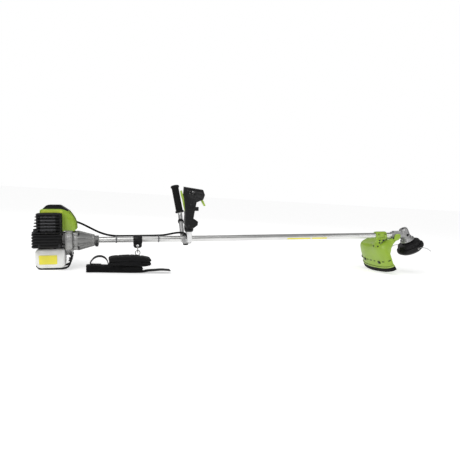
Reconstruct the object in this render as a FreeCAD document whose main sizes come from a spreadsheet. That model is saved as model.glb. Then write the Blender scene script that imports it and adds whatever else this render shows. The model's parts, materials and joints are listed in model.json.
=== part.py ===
"""Petrol string trimmer: engine, shaft, two-arm handlebar, strap, guard and bump head.

Millimetres. +X runs along the shaft from the engine to the head, +Y is the machine's left and
+Z is up. The origin is the centre of the flat foot under the fuel tank.
"""
import FreeCAD, Part
import math
import os
import Sketcher
from FreeCAD import Placement, Rotation, Vector

doc = FreeCAD.newDocument("string_trimmer")
nodes = []

# ---------------------------------------------------------------- driving dimensions
DIMENSIONS = {
    "axis_height": 110.0,
    "bore_dia": 40.0,
    "stroke_len": 32.0,
    "rod_len": 56.0,
    "deck_rise": 34.0,
    "web_radius": 22.0,
    "journal_dia": 15.0,
    "fan_radius": 58.0,
    "fan_back": 54.0,
    "fan_front": 80.0,
    "drum_radius": 32.5,
    "cone_end": 165.0,
    "neck_end": 182.0,
    "tube_dia": 26.0,
    "tube_wall": 1.5,
    "tube_begin": 152.0,
    "tube_finish": 1592.0,
    "shaft_dia": 8.0,
    "hanger_place": 340.0,
    "bar_place": 545.0,
    "bar_rise": 2.0,
    "bar_dia": 20.0,
    "cable_dia": 8.4,
    "head_place": 1640.0,
    "head_tilt": 27.0,
    "guard_tilt": 31.0,
    "head_radius": 64.0,
    "spindle_dia": 10.0,
    "line_dia": 2.4,
    "slip_gap": 0.3,
    "run_gap": 0.06,
}


class Size:
    """A length that carries its value and the sheet formula that gives it."""

    def __init__(self, value, text):
        self.value = value
        self.text = text

    def __add__(self, other):
        return Size(self.value + plain(other), f"({self.text} + {formula(other)})")

    __radd__ = __add__

    def __sub__(self, other):
        return Size(self.value - plain(other), f"({self.text} - {formula(other)})")

    def __rsub__(self, other):
        return Size(plain(other) - self.value, f"({formula(other)} - {self.text})")

    def __mul__(self, factor):
        return Size(self.value * factor, f"({self.text} * {formula(factor)})")

    __rmul__ = __mul__

    def __truediv__(self, factor):
        return Size(self.value / factor, f"({self.text} / {formula(factor)})")

    def __neg__(self):
        return Size(-self.value, f"(0 - {self.text})")


def plain(amount):
    return amount.value if isinstance(amount, Size) else float(amount)


def formula(amount):
    if isinstance(amount, Size):
        return amount.text
    return f"{float(amount)}" if amount >= 0 else f"(0 - {abs(float(amount))})"


def write_sheet():
    sheet = doc.addObject("Spreadsheet::Sheet", "dims")
    sizes = {}
    for row, (alias, value) in enumerate(DIMENSIONS.items(), start=1):
        sheet.set(f"A{row}", alias)
        sheet.set(f"B{row}", str(value))
        sheet.setAlias(f"B{row}", alias)
        sizes[alias] = Size(value, f"dims.{alias}")
    doc.recompute()
    return sizes


dim = write_sheet()
axis_z = dim["axis_height"]
gap = dim["slip_gap"]
tube_r = dim["tube_dia"] / 2
bore_r = dim["bore_dia"] / 2
fan_r = dim["fan_radius"]
hanger_x = dim["hanger_place"]
bar_x = dim["bar_place"]
bar_z = axis_z + dim["bar_rise"]
bar_r = dim["bar_dia"] / 2
cable_r = dim["cable_dia"] / 2
head_x = dim["head_place"]
X_AXIS = Vector(1, 0, 0)
Y_AXIS = Vector(0, 1, 0)
Z_AXIS = Vector(0, 0, 1)


# ---------------------------------------------------------------- small helpers
def bind(thing, prop, amount):
    thing.setExpression(prop, formula(amount))


def place(thing, spot, turn=Rotation()):
    thing.Placement = Placement(Vector(*[plain(value) for value in spot]), turn)
    for letter, value in zip("xyz", spot):
        bind(thing, f"Placement.Base.{letter}", value)
    return thing


def block(low, high):
    """Box between two opposite corners."""
    box = doc.addObject("Part::Box", "block")
    for prop, start, end in zip(("Length", "Width", "Height"), low, high):
        bind(box, prop, end - start)
    return place(box, low)


def rod(start, length, radius, aim=Z_AXIS):
    """Cylinder from a point, along a direction."""
    cylinder = doc.addObject("Part::Cylinder", "rod")
    bind(cylinder, "Radius", radius)
    bind(cylinder, "Height", length)
    return place(cylinder, start, Rotation(Z_AXIS, aim))


def fused(*pieces):
    union = doc.addObject("Part::MultiFuse", "union")
    union.Shapes = list(pieces)
    return union


def carved(base, *tools):
    """The base less every tool."""
    result = doc.addObject("Part::Cut", "carved")
    result.Base = base
    result.Tool = fused(*tools) if len(tools) > 1 else tools[0]
    return result


def shared(*pieces):
    common = doc.addObject("Part::MultiCommon", "shared")
    common.Shapes = list(pieces)
    return common


def rounded(thing, radius, choose):
    """Fillet on the edges that the test picks."""
    doc.recompute()
    fillet = doc.addObject("Part::Fillet", "rounded")
    fillet.Base = thing
    picked = [i for i, edge in enumerate(thing.Shape.Edges, start=1) if choose(edge)]
    fillet.Edges = [(number, radius, radius) for number in picked]
    return fillet


def along(direction):
    """Test for straight edges that run along a direction."""
    def test(edge):
        if edge.Curve.TypeId != "Part::GeomLine":
            return False
        return abs(abs(edge.tangentAt(edge.FirstParameter).dot(direction)) - 1) < 1e-6
    return test


def any_edge(edge):
    return edge.Length > 0


def outline_sketch(body, role, outline, offset):
    """Closed polygon on one of the body's own planes, every point held by its two sizes."""
    plane = next(item for item in body.Origin.OriginFeatures if item.Role == role)
    profile = body.newObject("Sketcher::SketchObject", "Profile")
    profile.AttachmentSupport = [(plane, "")]
    profile.MapMode = "FlatFace"
    bind(profile, "AttachmentOffset.Base.z", offset)
    corners = [Vector(plain(a), plain(b), 0) for a, b in outline]
    for index, corner in enumerate(corners):
        following = corners[(index + 1) % len(corners)]
        profile.addGeometry(Part.LineSegment(corner, following), False)
    for index in range(len(corners)):
        following = (index + 1) % len(corners)
        profile.addConstraint(Sketcher.Constraint("Coincident", index, 2, following, 1))
    for index, point in enumerate(outline):
        for kind, amount in zip(("DistanceX", "DistanceY"), point):
            rule = Sketcher.Constraint(kind, -1, 1, index, 1, plain(amount))
            number = profile.addConstraint(rule)
            if isinstance(amount, Size):
                profile.setExpression(f"Constraints[{number}]", amount.text)
    return profile


def slab(role, outline, low, high):
    """Outline in XY, XZ or YZ, padded between two heights of the third axis."""
    body = doc.addObject("PartDesign::Body", "slab")
    flipped = role == "XZ_Plane"
    profile = outline_sketch(body, role, outline, -high if flipped else low)
    pad = body.newObject("PartDesign::Pad", "Pad")
    pad.Profile = profile
    bind(pad, "Length", high - low)
    return body


def turned(outline, spot=(0, 0, 0), aim=X_AXIS):
    """Solid of revolution: outline points are (distance along the axis, radius)."""
    body = doc.addObject("PartDesign::Body", "turned")
    profile = outline_sketch(body, "XZ_Plane", outline, 0)
    revolution = body.newObject("PartDesign::Revolution", "Revolution")
    revolution.Profile = profile
    revolution.ReferenceAxis = (profile, ["H_Axis"])
    revolution.Angle = 360
    return place(body, spot, Rotation(X_AXIS, aim))


def round_path(points, radii):
    """Wire of straight runs joined by tangent arcs, one radius for each inner point."""
    edges = []
    start = points[0]
    for before, corner, after, radius in zip(points, points[1:], points[2:], radii):
        inward = (before - corner).normalize()
        outward = (after - corner).normalize()
        half = inward.getAngle(outward) / 2
        reach = radius / math.tan(half)
        first = corner + inward * reach
        last = corner + outward * reach
        middle = (inward + outward).normalize()
        crown = corner + middle * (radius / math.sin(half) - radius)
        edges.append(Part.LineSegment(start, first).toShape())
        edges.append(Part.Arc(first, crown, last).toShape())
        start = last
    edges.append(Part.LineSegment(start, points[-1]).toShape())
    return Part.Wire(edges)


def pipe_shape(points, radii, radius):
    """Round bar along a rounded path."""
    path = round_path(points, radii)
    circle = Part.Wire(Part.makeCircle(radius, points[0], points[1] - points[0]))
    solid = path.makePipeShell([circle], True, False)
    expected = math.pi * radius ** 2 * path.Length
    if abs(solid.Volume / expected - 1) > 0.01:
        raise RuntimeError("a pipe's volume is not its section times its length")
    return solid


def shaped(shape):
    """A document object for a shape made with Part's own functions."""
    feature = doc.addObject("Part::Feature", "shaped")
    feature.Shape = shape
    return feature


def cord_radii(points):
    """The largest arcs that a free cable's runs allow."""
    radii = []
    for before, corner, after in zip(points, points[1:], points[2:]):
        shorter = min((corner - before).Length, (after - corner).Length)
        turn = (corner - before).getAngle(after - corner)
        radii.append(0.45 * shorter / math.tan(turn / 2))
    print("cable radii", [round(value) for value in radii])
    return radii


def node(name, thing):
    """Registers the finished sub-part under its own name."""
    thing.Label = name
    nodes.append(thing)


# ---------------------------------------------------------------- engine
def crankcase():
    """Two castings split across the shaft; the front one carries the fan housing."""
    case_r = dim["web_radius"] + 4.5
    deck = axis_z + dim["deck_rise"]
    cavity = rod((-12, 0, axis_z), 29, dim["web_radius"] + 2, X_AXIS)
    mouth = rod((0, 0, axis_z), dim["deck_rise"] + 1, bore_r + 0.5)
    rear = fused(rod((-40, 0, axis_z), 42, case_r, X_AXIS),
                 block((-40, -34, axis_z), (2, 34, deck)))
    node("crankcase_rear", carved(rear, cavity, mouth))

    back = dim["fan_back"]
    front = dim["fan_front"]
    drum = rod((back, 0, axis_z), front - back, fan_r, X_AXIS)
    inside = rod((back + 3, 0, axis_z), front - back - 6, fan_r - 4.5, X_AXIS)
    opening = rod((front - 4, 0, axis_z), 6, 36, X_AXIS)
    bearing_bore = rod((10, 0, axis_z), 60, dim["journal_dia"] / 2 + dim["run_gap"], X_AXIS)
    casting = fused(rod((2, 0, axis_z), back, case_r, X_AXIS),
                    block((2, -34, axis_z), (back + 1, 34, deck)), drum)
    coil_window = block((back + 3, -12, axis_z + 45), (front - 5, 12, axis_z + 62))
    node("crankcase_front", carved(casting, cavity, mouth, inside, opening, bearing_bore,
                                   coil_window))
    coil = fused(block((58, -14, axis_z + 60.5), (74, 14, axis_z + 82)),
                 block((60, -10.5, axis_z + 50), (70, -4, axis_z + 62)),
                 block((60, 4, axis_z + 50), (70, 10.5, axis_z + 62)))
    node("ignition_coil", carved(coil, rod((50, 0, axis_z), 40, 49.5, X_AXIS)))


def cylinder():
    """Finned barrel with a closed head, an exhaust port on the right and an inlet on the left."""
    deck = axis_z + dim["deck_rise"]
    pieces = [rod((0, 0, deck), 68, bore_r + 5),
              block((-34, -34, deck), (34, 34, deck + 5))]
    for step in range(8):
        low = deck + 11 + 7.2 * step
        pieces.append(block((-34, -34, low), (34, 34, low + 2.2)))
    bore = rod((0, 0, deck - 1), 55, bore_r + 0.05)
    plug_hole = rod((0, 0, deck + 50), 20, 7)
    exhaust_bay = block((-13, -40, deck + 18), (13, -24.5, deck + 44))
    exhaust_port = rod((0, -30, deck + 31), 20, 8, Y_AXIS)
    inlet_bay = block((-14, 24.5, deck + 8), (14, 40, deck + 38))
    inlet_port = rod((0, 15, deck + 21), 20, 7, Y_AXIS)
    node("cylinder", carved(fused(*pieces), bore, plug_hole, exhaust_bay, exhaust_port,
                            inlet_bay, inlet_port))


def spark_plug():
    tip = axis_z + 88
    node("spark_plug", turned([(0, 0), (0, 6.9), (14, 6.9), (14, 10.5), (22, 10.5), (24, 7),
                               (26, 5), (31, 4.5), (31, 3), (35, 3), (35, 0)],
                              (0, 0, tip), Z_AXIS))


def piston_group():
    """Piston and rod at bottom dead centre; the rod's lower eye stands where the pin turns."""
    pin_z = axis_z + dim["rod_len"] - dim["stroke_len"] / 2
    crown = turned([(-12, 0), (-12, bore_r - 0.03), (14, bore_r - 0.03), (14, 0)],
                   (0, 0, pin_z), Z_AXIS)
    hollow = rod((0, 0, pin_z - 13), 22, bore_r - 4)
    pin = rod((-18, 0, pin_z), 36, 4.97, X_AXIS)
    node("piston", fused(carved(crown, hollow), pin))
    low_z = axis_z - dim["stroke_len"] / 2
    shank = block((-3, -4, low_z + 6), (3, 4, pin_z - 6))
    big_end = rod((-4.5, 0, low_z), 9, 7.5, X_AXIS)
    small_end = rod((-4.5, 0, pin_z), 9, 8, X_AXIS)
    node("connecting_rod", carved(fused(shank, big_end, small_end),
                                  rod((-6, 0, low_z), 12, 4.5, X_AXIS),
                                  rod((-8, 0, pin_z), 16, 5, X_AXIS)))


def crank_train():
    """Half crank, flywheel with fan blades and the two clutch shoes on its nose."""
    journal_r = dim["journal_dia"] / 2
    node("crankshaft", turned([(6, 0), (6, dim["web_radius"]), (15.5, dim["web_radius"]),
                               (15.5, journal_r), (98, journal_r), (98, 0)],
                              (0, 0, axis_z)))
    disc = turned([(58.5, journal_r), (58.5, 15), (61, 15), (61, 49), (66, 49), (66, 16),
                   (75, 16), (75, journal_r)], (0, 0, axis_z))
    blades = []
    for step in range(12):
        blade = block((65, -1.2, 26), (74.5, 1.2, 48))
        turn = Rotation(X_AXIS, 30 * step)
        lifted = doc.addObject("Part::Compound", "blade")
        lifted.Links = [blade]
        blades.append(place(lifted, (0, 0, axis_z), turn))
    node("flywheel", fused(disc, *blades))
    ring = turned([(84.5, journal_r + 0.1), (84.5, 28.4), (96, 28.4), (96, journal_r + 0.1)],
                  (0, 0, axis_z))
    slit = block((80, -1.5, axis_z - 40), (100, 1.5, axis_z + 40))
    node("clutch_shoes", carved(ring, slit))


def clutch():
    """Drum on the drive shaft, inside the cone-shaped housing that clamps the tube."""
    drum_r = dim["drum_radius"]
    shaft_r = dim["shaft_dia"] / 2
    node("clutch_drum", turned([(84, drum_r - 2.5), (84, drum_r), (107, drum_r), (110, 8),
                                (149, 8), (149, shaft_r), (103, shaft_r), (103, 10),
                                (104, drum_r - 2.5)], (0, 0, axis_z)))
    neck = dim["neck_end"]
    hub_r = 8 + dim["run_gap"]
    cone = turned([(80, 34), (80, 40), (100, 40), (100, 38), (dim["cone_end"], 21.5),
                   (dim["cone_end"], 19), (neck, 19), (neck, tube_r), (151, tube_r),
                   (151, hub_r), (111, hub_r), (111, 34)], (0, 0, axis_z))
    ears = block((168, -10, axis_z - 26), (neck - 2, 10, axis_z - 15))
    bore = rod((160, 0, axis_z), 30, tube_r, X_AXIS)
    slit = block((167, -1, axis_z - 30), (neck + 1, 1, axis_z - 10))
    node("clutch_housing", carved(fused(cone, ears), bore, slit))


def exhaust():
    """Silencer box beside the cylinder, under a louvred black cover."""
    deck = axis_z + dim["deck_rise"]
    box = rounded(block((-40, -80, 106), (24, -43, 212)), 8, any_edge)
    port = rod((0, -44, deck + 31), 19.5, 9, Y_AXIS)
    tail = rod((-34, -62, 118), 12, 6, -X_AXIS)
    node("muffler", fused(box, port, tail))

    outer = rounded(block((-57, -88, 90), (42, -38, 225)), 10, along(Z_AXIS))
    skirt = rounded(block((-66, -88, 90), (46, -38, 150)), 10, along(Z_AXIS))
    inner = block((-54, -85, 93), (39, -36, 222))
    pieces = [outer, skirt]
    slots = []
    for step in range(9):
        low = 105 + 12.4 * step
        reach = -61 if low > 150 else -69
        fin = block((reach, -91, low + 7.5), (38, -56, low + 10.3))
        pieces.append(fin)
        slots.append(block((-46, -95, low), (30, -80, low + 5.5)))
        slots.append(block((-75, -76, low), (-50, -48, low + 5.5)))
    starter_bay = rod((-80, 0, axis_z), 40, 47, X_AXIS)
    shell = carved(fused(*pieces), inner, *slots, starter_bay)
    node("muffler_cover", shell)


def covers():
    """Lime engine cover over the cylinder and the fan, with the black cap on its roof."""
    outline = [(-42, 150), (-42, 234), (-36, 240), (40, 240), (64, 231), (84, 206), (93, 182),
               (93, 156), (50, 150)]
    shell = rounded(slab("XZ_Plane", outline, -37.5, 37.5), 5, upper_rim)
    inside = slab("XZ_Plane", [(-39.5, 140), (-39.5, 237.4), (39.5, 237.4), (62, 228.6),
                               (81.7, 204.5), (90.4, 181.5), (90.4, 140)], -35, 35)
    exhaust_window = block((-42, -40, 145), (27, -30, 214))
    inlet_window = block((-18, 30, 145), (20, 40, 192))
    fan_bay = rod((dim["fan_back"] - 0.3, 0, axis_z), 27, fan_r + 0.3, X_AXIS)
    node("engine_cover", carved(shell, inside, exhaust_window, inlet_window, fan_bay))

    roof = slab("XZ_Plane", [(-33, 240.2), (-17, 255), (36, 255), (69, 232.8), (64, 231.4),
                             (40, 240.2)], -28, 28)
    hollow = slab("XZ_Plane", [(-26, 240.1), (-15, 252), (35, 252), (55, 238.5), (40, 240.1)],
                  -25, 25)
    node("top_cap", carved(roof, hollow))


def upper_rim(edge):
    box = edge.BoundBox
    return box.YLength < 0.1 and box.ZMax > 160 and box.ZMin > 155.5


def induction():
    """Carburettor on the left port, the air filter cover outside it, and their small levers."""
    port_z = axis_z + dim["deck_rise"] + 21
    casting = fused(rod((0, 24.5, port_z), 30, 11, Y_AXIS), block((-14, 48, 148), (16, 78, 182)))
    throat = rod((0, 20, port_z), 70, 6, Y_AXIS)
    bulb_seat = rod((-3, 63, 140), 13, 8.5)
    node("carburettor", carved(casting, throat, bulb_seat))
    bulb = turned([(0, 0), (0, 4), (3, 7.2), (6, 8.1), (11, 8.1), (11, 0)], (-3, 63, 137), Z_AXIS)
    node("primer_bulb", bulb)
    node("throttle_arm", fused(block((17, 59, 152), (19.5, 66, 170)),
                               rod((16.4, 62.5, 168), 5, 3.5, X_AXIS)))
    shell = rounded(block((-36, 79, 130), (38, 116, 208)), 10, outer_rim)
    room = block((-32, 82, 134), (34, 112, 204))
    intake = rod((0, 70, port_z), 20, 6.5, Y_AXIS)
    grille = [block((-40, 88 + 7 * step, 150), (-30, 92 + 7 * step, 190)) for step in range(3)]
    node("air_filter_cover", carved(shell, room, intake, *grille))
    node("choke_lever", fused(block((-40, 71, 150), (-37, 75, 172)),
                              rod((-41, 73, 152), 5, 4, X_AXIS)))


def outer_rim(edge):
    box = edge.BoundBox
    return box.YMin > 100 or (along(Y_AXIS)(edge))


def fuel_system():
    """Blown tank with a filler on the left, its screw cap and the black stand under it."""
    body = rounded(block((-60, -55, 4.5), (52, 55, 83)), 16, any_edge)
    room = rounded(block((-57.5, -52.5, 7), (49.5, 52.5, 80.5)), 13, any_edge)
    neck = rod((-14, 50, 48), 14, 15, Y_AXIS)
    mouth = rod((-14, 45, 48), 25, 12, Y_AXIS)
    node("fuel_tank", carved(fused(body, neck), room, mouth))
    cap = [(0, 15.4), (0, 19.5), (19, 19.5), (21, 17.5), (21, 0), (8, 0), (8, 15.4)]
    node("fuel_cap", turned(cap, (-14, 56.5, 48), Y_AXIS))

    foot = [(-57, 6), (-46, 0), (46, 0), (64, 9), (73, 26), (79, 48), (79, 66), (70, 66),
            (62, 46), (58, 26), (52.6, 8), (44, 4), (-44, 4), (-50, 5), (-55, 8)]
    frame = slab("XZ_Plane", foot, -46, 46)
    window = slab("XZ_Plane", [(20, -5), (90, -5), (90, 60), (20, 60)], -30, 30)
    saddle = rod((dim["fan_back"] - 2, 0, axis_z), 40, fan_r, X_AXIS)
    bridge = block((66, -32, 30), (74, 32, 40))
    node("tank_stand", carved(fused(carved(frame, window), bridge), saddle))


def starter():
    """Recoil starter: dished housing, grooved pulley and the pull handle on the left."""
    outer = shared(rod((-70, 0, axis_z), 28, 46, X_AXIS), block((-70, -50, 84), (-42, 50, 160)))
    inner = shared(rod((-67, 0, axis_z), 26, 43, X_AXIS), block((-67, -50, 87), (-40, 50, 160)))
    post = rod((-68, 0, axis_z), 22, 4, X_AXIS)
    vents = [block((-72, -30, axis_z - 18 + 9 * step), (-66, 30, axis_z - 14 + 9 * step))
             for step in range(5)]
    boss = rod((-70, 0, axis_z), 3, 12, X_AXIS)
    exit_hole = rod((-56, 30, axis_z + 18), 20, 3.5, Y_AXIS)
    dish = carved(outer, inner, exit_hole, *vents)
    node("starter_housing", fused(dish, boss, post))
    groove = [(0, 4 + dim["run_gap"]), (0, 22.4), (2, 22.4), (4, 18), (8, 18), (10, 22.4),
              (12, 22.4), (12, 4 + dim["run_gap"])]
    node("starter_pulley", turned(groove, (-62, 0, axis_z)))
    grip = turned([(0, 0), (0, 4), (3, 6.5), (22, 7.5), (41, 6.5), (44, 4), (44, 0)],
                  (-56, 58, axis_z - 4), Z_AXIS)
    stem = rod((-56, 47, axis_z + 18), 12, 3.5, Y_AXIS)
    node("starter_handle", fused(grip, stem))


# ---------------------------------------------------------------- shaft
def shaft():
    """Aluminium tube with the solid drive shaft running in five bushings."""
    begin = dim["tube_begin"]
    finish = dim["tube_finish"]
    inner_r = tube_r - dim["tube_wall"]
    shaft_r = dim["shaft_dia"] / 2
    node("shaft_tube", turned([(begin, inner_r), (begin, tube_r), (finish, tube_r),
                               (finish, inner_r)], (0, 0, axis_z)))
    node("drive_shaft", rod((105, 0, axis_z), head_x - 114, shaft_r, X_AXIS))
    rings = []
    for step in range(5):
        start = 260 + 310 * step
        ring = turned([(start, shaft_r + dim["run_gap"]), (start, inner_r), (start + 22, inner_r),
                       (start + 22, shaft_r + dim["run_gap"])], (0, 0, axis_z))
        rings.append(ring)
    group = doc.addObject("Part::Compound", "rings")
    group.Links = rings
    node("shaft_bushings", group)


def hanger():
    """Split clamp with a broad tab, and the steel ring that swings in its hole."""
    collar = rod((hanger_x - 17.5, 0, axis_z), 35, tube_r + 3.5, X_AXIS)
    tab_low = axis_z - 36
    tab = rounded(block((hanger_x - 17.5, -5, tab_low), (hanger_x + 17.5, 5, axis_z - 10)), 10,
                  lower_tab_edge)
    tube_hole = rod((hanger_x - 20, 0, axis_z), 40, tube_r, X_AXIS)
    eye = rod((hanger_x, -8, axis_z - 27), 16, 5, Y_AXIS)
    cable_bay = rod((hanger_x - 20, 10.6, axis_z + 14.4), 40, cable_r + 0.4, X_AXIS)
    node("hanger_clamp", carved(fused(collar, tab), tube_hole, eye, cable_bay))
    ring = doc.addObject("Part::Torus", "ring")
    bind(ring, "Radius1", 15)
    bind(ring, "Radius2", 1.8)
    node("hanger_ring", place(ring, (hanger_x, 0, axis_z - 42), Rotation(Z_AXIS, X_AXIS)))


def lower_tab_edge(edge):
    return along(Y_AXIS)(edge) and edge.BoundBox.ZMax < 90


def harness():
    """Strap folded flat beside the shaft on its edge, with the hook that holds the ring."""
    eye_z = axis_z - 57
    loop = doc.addObject("Part::Torus", "hook_loop")
    bind(loop, "Radius1", 10)
    bind(loop, "Radius2", 2)
    place(loop, (hanger_x, 0, eye_z), Rotation(Z_AXIS, Y_AXIS))
    shank = shaped(pipe_shape([Vector(340, 0, 42.4), Vector(340, -18, 38), Vector(340, -35.5, 35.5)],
                              [12], 3))
    node("strap_hook", fused(loop, shank))
    pad = rounded(block((216, -112, 15), (388, -36, 46)), 8, any_edge)
    shank_bay = rod((340, -12, 38.85), 40, 4, Vector(0, -1, -0.143))
    node("shoulder_pad", carved(pad, shank_bay))
    fold = slab("XZ_Plane", [(134, -5.5), (350, -16), (350, 14.5), (134, 14.5)], -112, -58)
    lower = rounded(fold, 8, any_edge)
    arch = shaped(pipe_shape([Vector(148, -84, 8), Vector(152, -84, 36), Vector(182, -84, 50),
                              Vector(212, -84, 34), Vector(213, -84, 8)], [16, 24, 20], 3))
    tail = block((340, -98, -12), (466, -70, -8))
    node("strap_webbing", fused(lower, arch, tail))


# ---------------------------------------------------------------- handlebar
def handlebar_mount():
    """Clamp block round the tube with a socket for each arm, and the knob under it."""
    body = rounded(block((bar_x - 18, -42, axis_z - 17), (bar_x + 18, 42, axis_z + 19)), 5,
                   along(Y_AXIS))
    tube_hole = rod((bar_x - 20, 0, axis_z), 40, tube_r, X_AXIS)
    sockets = [rod((bar_x, side * 15.5, bar_z), 30, bar_r + dim["run_gap"], side * Y_AXIS)
               for side in (-1, 1)]
    waist = [block((bar_x - 20, side * 30 - 14, axis_z + 15), (bar_x + 20, side * 30 + 14,
                                                             axis_z + 25)) for side in (-1, 1)]
    knob_hole = rod((bar_x, 0, axis_z - 20), 8, 3 + dim["run_gap"])
    node("handlebar_clamp", carved(body, tube_hole, *sockets, *waist, knob_hole))
    node("clamp_knob", turned([(0, 0), (0, 7), (7, 8.5), (8, 8.5), (8, 3), (12.5, 3), (12.5, 0)],
                              (bar_x, 0, axis_z - 26), Z_AXIS))


RIGHT_ARM = [Vector(545, -17, 112), Vector(545, -108, 112), Vector(523, -206, 166),
             Vector(523, -219, 318)]
LEFT_ARM = [Vector(545, 17, 112), Vector(545, 86, 112), Vector(552, 190, 202),
            Vector(531, 221, 334)]


def arms():
    """Bent handlebar arms; each one's end turns in its socket of the clamp."""
    radius = plain(bar_r)
    node("right_arm", shaped(pipe_shape(RIGHT_ARM, [60, 60], radius)))
    node("left_arm", shaped(pipe_shape(LEFT_ARM, [60, 36], radius)))
    top = LEFT_ARM[-1]
    aim = (top - LEFT_ARM[-2]).normalize()
    base = top - aim * 125
    grip = turned([(0, bar_r), (0, 20), (5, 20.5), (9, 17), (62, 16.2), (118, 17), (122, 20.5),
                   (127, 20), (131, 15), (131, 0), (125.2, 0), (125.2, bar_r)],
                  tuple(base), aim)
    node("left_grip", grip)


def control_handle():
    """Moulded grip in two halves, with trigger, palm lock, stop switch and start button."""
    side = [(501, 334), (574, 323), (581, 304), (575, 286), (549, 275), (544, 250), (538, 212),
            (556, 200), (555, 186), (536, 172), (512, 172), (503, 190), (505, 225), (504, 250),
            (499, 300)]
    lean = Rotation(X_AXIS, Vector(0, -13, 152).getAngle(Z_AXIS) * 180 / math.pi)
    hub = Vector(523, -206, 166)

    def leaned(thing):
        """Local y is across the grip; the whole handle leans outward with its arm."""
        holder = doc.addObject("Part::Compound", "leaned")
        holder.Links = [thing]
        turn = Placement(hub, lean).multiply(Placement(-hub, Rotation()))
        holder.Placement = turn
        return holder

    middle = -206
    bar_way = shaped(pipe_shape(RIGHT_ARM, [60, 60], plain(bar_r) + 0.2))
    cable_way = shaped(pipe_shape(UPPER_ROUTE, cord_radii(UPPER_ROUTE), plain(cable_r) + 0.3))
    trigger_bay = block((553, middle - 6.5, 262), (592, middle + 6.5, 312))
    lock_bay = block((480, middle - 6.5, 232), (512.5, middle + 6.5, 330))
    button_bay = block((536, middle - 6.5, 238), (570, middle + 6.5, 260))
    switch_bay = block((520, middle - 30, 306), (540, middle + 30, 318))
    for name, low, high in (("handle_right", middle - 19, middle - 0.05),
                            ("handle_left", middle + 0.05, middle + 19)):
        half = slab("XZ_Plane", side, low, high)
        edge_y = low if "right" in name else high

        def outside(edge, rim=edge_y):
            box = edge.BoundBox
            return box.YLength < 0.1 and abs(box.YMin - rim) < 0.1
        shell = rounded(half, 7, outside)
        hollow = leaned(carved(shell, trigger_bay, lock_bay, button_bay, switch_bay))
        node(name, carved(hollow, bar_way, cable_way))

    trigger = slab("XZ_Plane", [(558, 304), (568, 304), (573, 288), (581, 272), (586, 262),
                                (580, 259), (572, 272), (563, 290), (557, 297)],
                   middle - 5, middle + 5)
    trigger_boss = rod((560, middle - 5, 301), 10, 3.5, Y_AXIS)
    node("throttle_trigger", leaned(fused(trigger, trigger_boss)))
    lock = slab("XZ_Plane", [(486, 318), (492, 320), (498, 300), (503, 276), (508, 258),
                             (511, 240), (505, 238), (500, 256), (494, 285), (488, 304)],
                middle - 5, middle + 5)
    lock_boss = rod((508, middle - 5, 242), 10, 3.5, Y_AXIS)
    node("throttle_lock", leaned(fused(lock, lock_boss)))
    node("start_button", leaned(block((541, middle - 5, 241), (559, middle + 5, 256))))
    node("stop_switch", leaned(block((522, middle - 22, 307.5), (532, middle - 12, 316.5))))


# ---------------------------------------------------------------- throttle cable
LOWER_ROUTE = [Vector(23, 62, 181), Vector(52, 58, 190), Vector(96, 44, 184),
               Vector(140, 26, 163), Vector(185, 13, 139.5), Vector(232, 10.6, 125.6),
               Vector(290, 10.6, 124.4), Vector(350, 10.6, 124.7), Vector(405, 10.6, 124.4),
               Vector(450, 10, 125.2), Vector(482, 6, 131.6), Vector(512, -2, 137.5),
               Vector(541, -6, 135.5)]
UPPER_ROUTE = [Vector(541, -52, 128.5), Vector(540, -84, 127), Vector(537, -118, 134.5),
               Vector(525, -150, 151.5), Vector(513, -176, 163.5), Vector(510, -193, 177),
               Vector(510, -195, 195)]


def throttle_cable():
    """Outer cable from the carburettor along the tube, and its end at the control handle."""
    radius = plain(cable_r)
    node("throttle_cable", shaped(pipe_shape(LOWER_ROUTE, cord_radii(LOWER_ROUTE), radius)))
    node("handle_cable", shaped(pipe_shape(UPPER_ROUTE, cord_radii(UPPER_ROUTE), radius)))


# ---------------------------------------------------------------- gear head
def head_frame():
    """Placement with local Z down the spindle, from the crossing with the shaft."""
    turn = Rotation(Y_AXIS, 180 - DIMENSIONS["head_tilt"])
    return turn


SPINDLE = head_frame().multVec(Z_AXIS)


def on_spindle(outline):
    """Solid of revolution on the spindle: points are (distance down the spindle, radius)."""
    return turned(outline, (head_x, 0, axis_z), SPINDLE)


def gear_head():
    """Angled aluminium gear case with a bevel pair."""
    sleeve = rod((1560, 0, axis_z), head_x - 1568, 17.5, X_AXIS)
    barrel = on_spindle([(-36, 0), (-36, 17), (-30, 21), (14, 21), (22, 31), (29, 31), (29, 0)])
    tube_hole = rod((1550, 0, axis_z), dim["tube_finish"] - 1550, tube_r, X_AXIS)
    gear_room = on_spindle([(-12, 0), (-12, 17), (20, 17), (20, 0)])
    shaft_hole = rod((1590, 0, axis_z), 60, 11, X_AXIS)
    spindle_hole = on_spindle([(10, 0), (10, dim["spindle_dia"] / 2 + dim["run_gap"]),
                               (40, dim["spindle_dia"] / 2 + dim["run_gap"]), (40, 0)])
    node("gear_case", carved(fused(sleeve, barrel), tube_hole, gear_room, shaft_hole,
                             spindle_hole))
    pinion = [(-17, 4), (-17, 9.4), (-10.6, 9.6), (-7.6, 6.6), (-7.6, 4)]
    node("input_pinion", turned(pinion, (head_x, 0, axis_z)))
    gear = on_spindle([(5, 0), (5, 11.2), (6.6, 12.4), (9.5, 12.4), (9.5, 5), (66, 5), (66, 0)])
    node("output_gear", gear)


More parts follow.
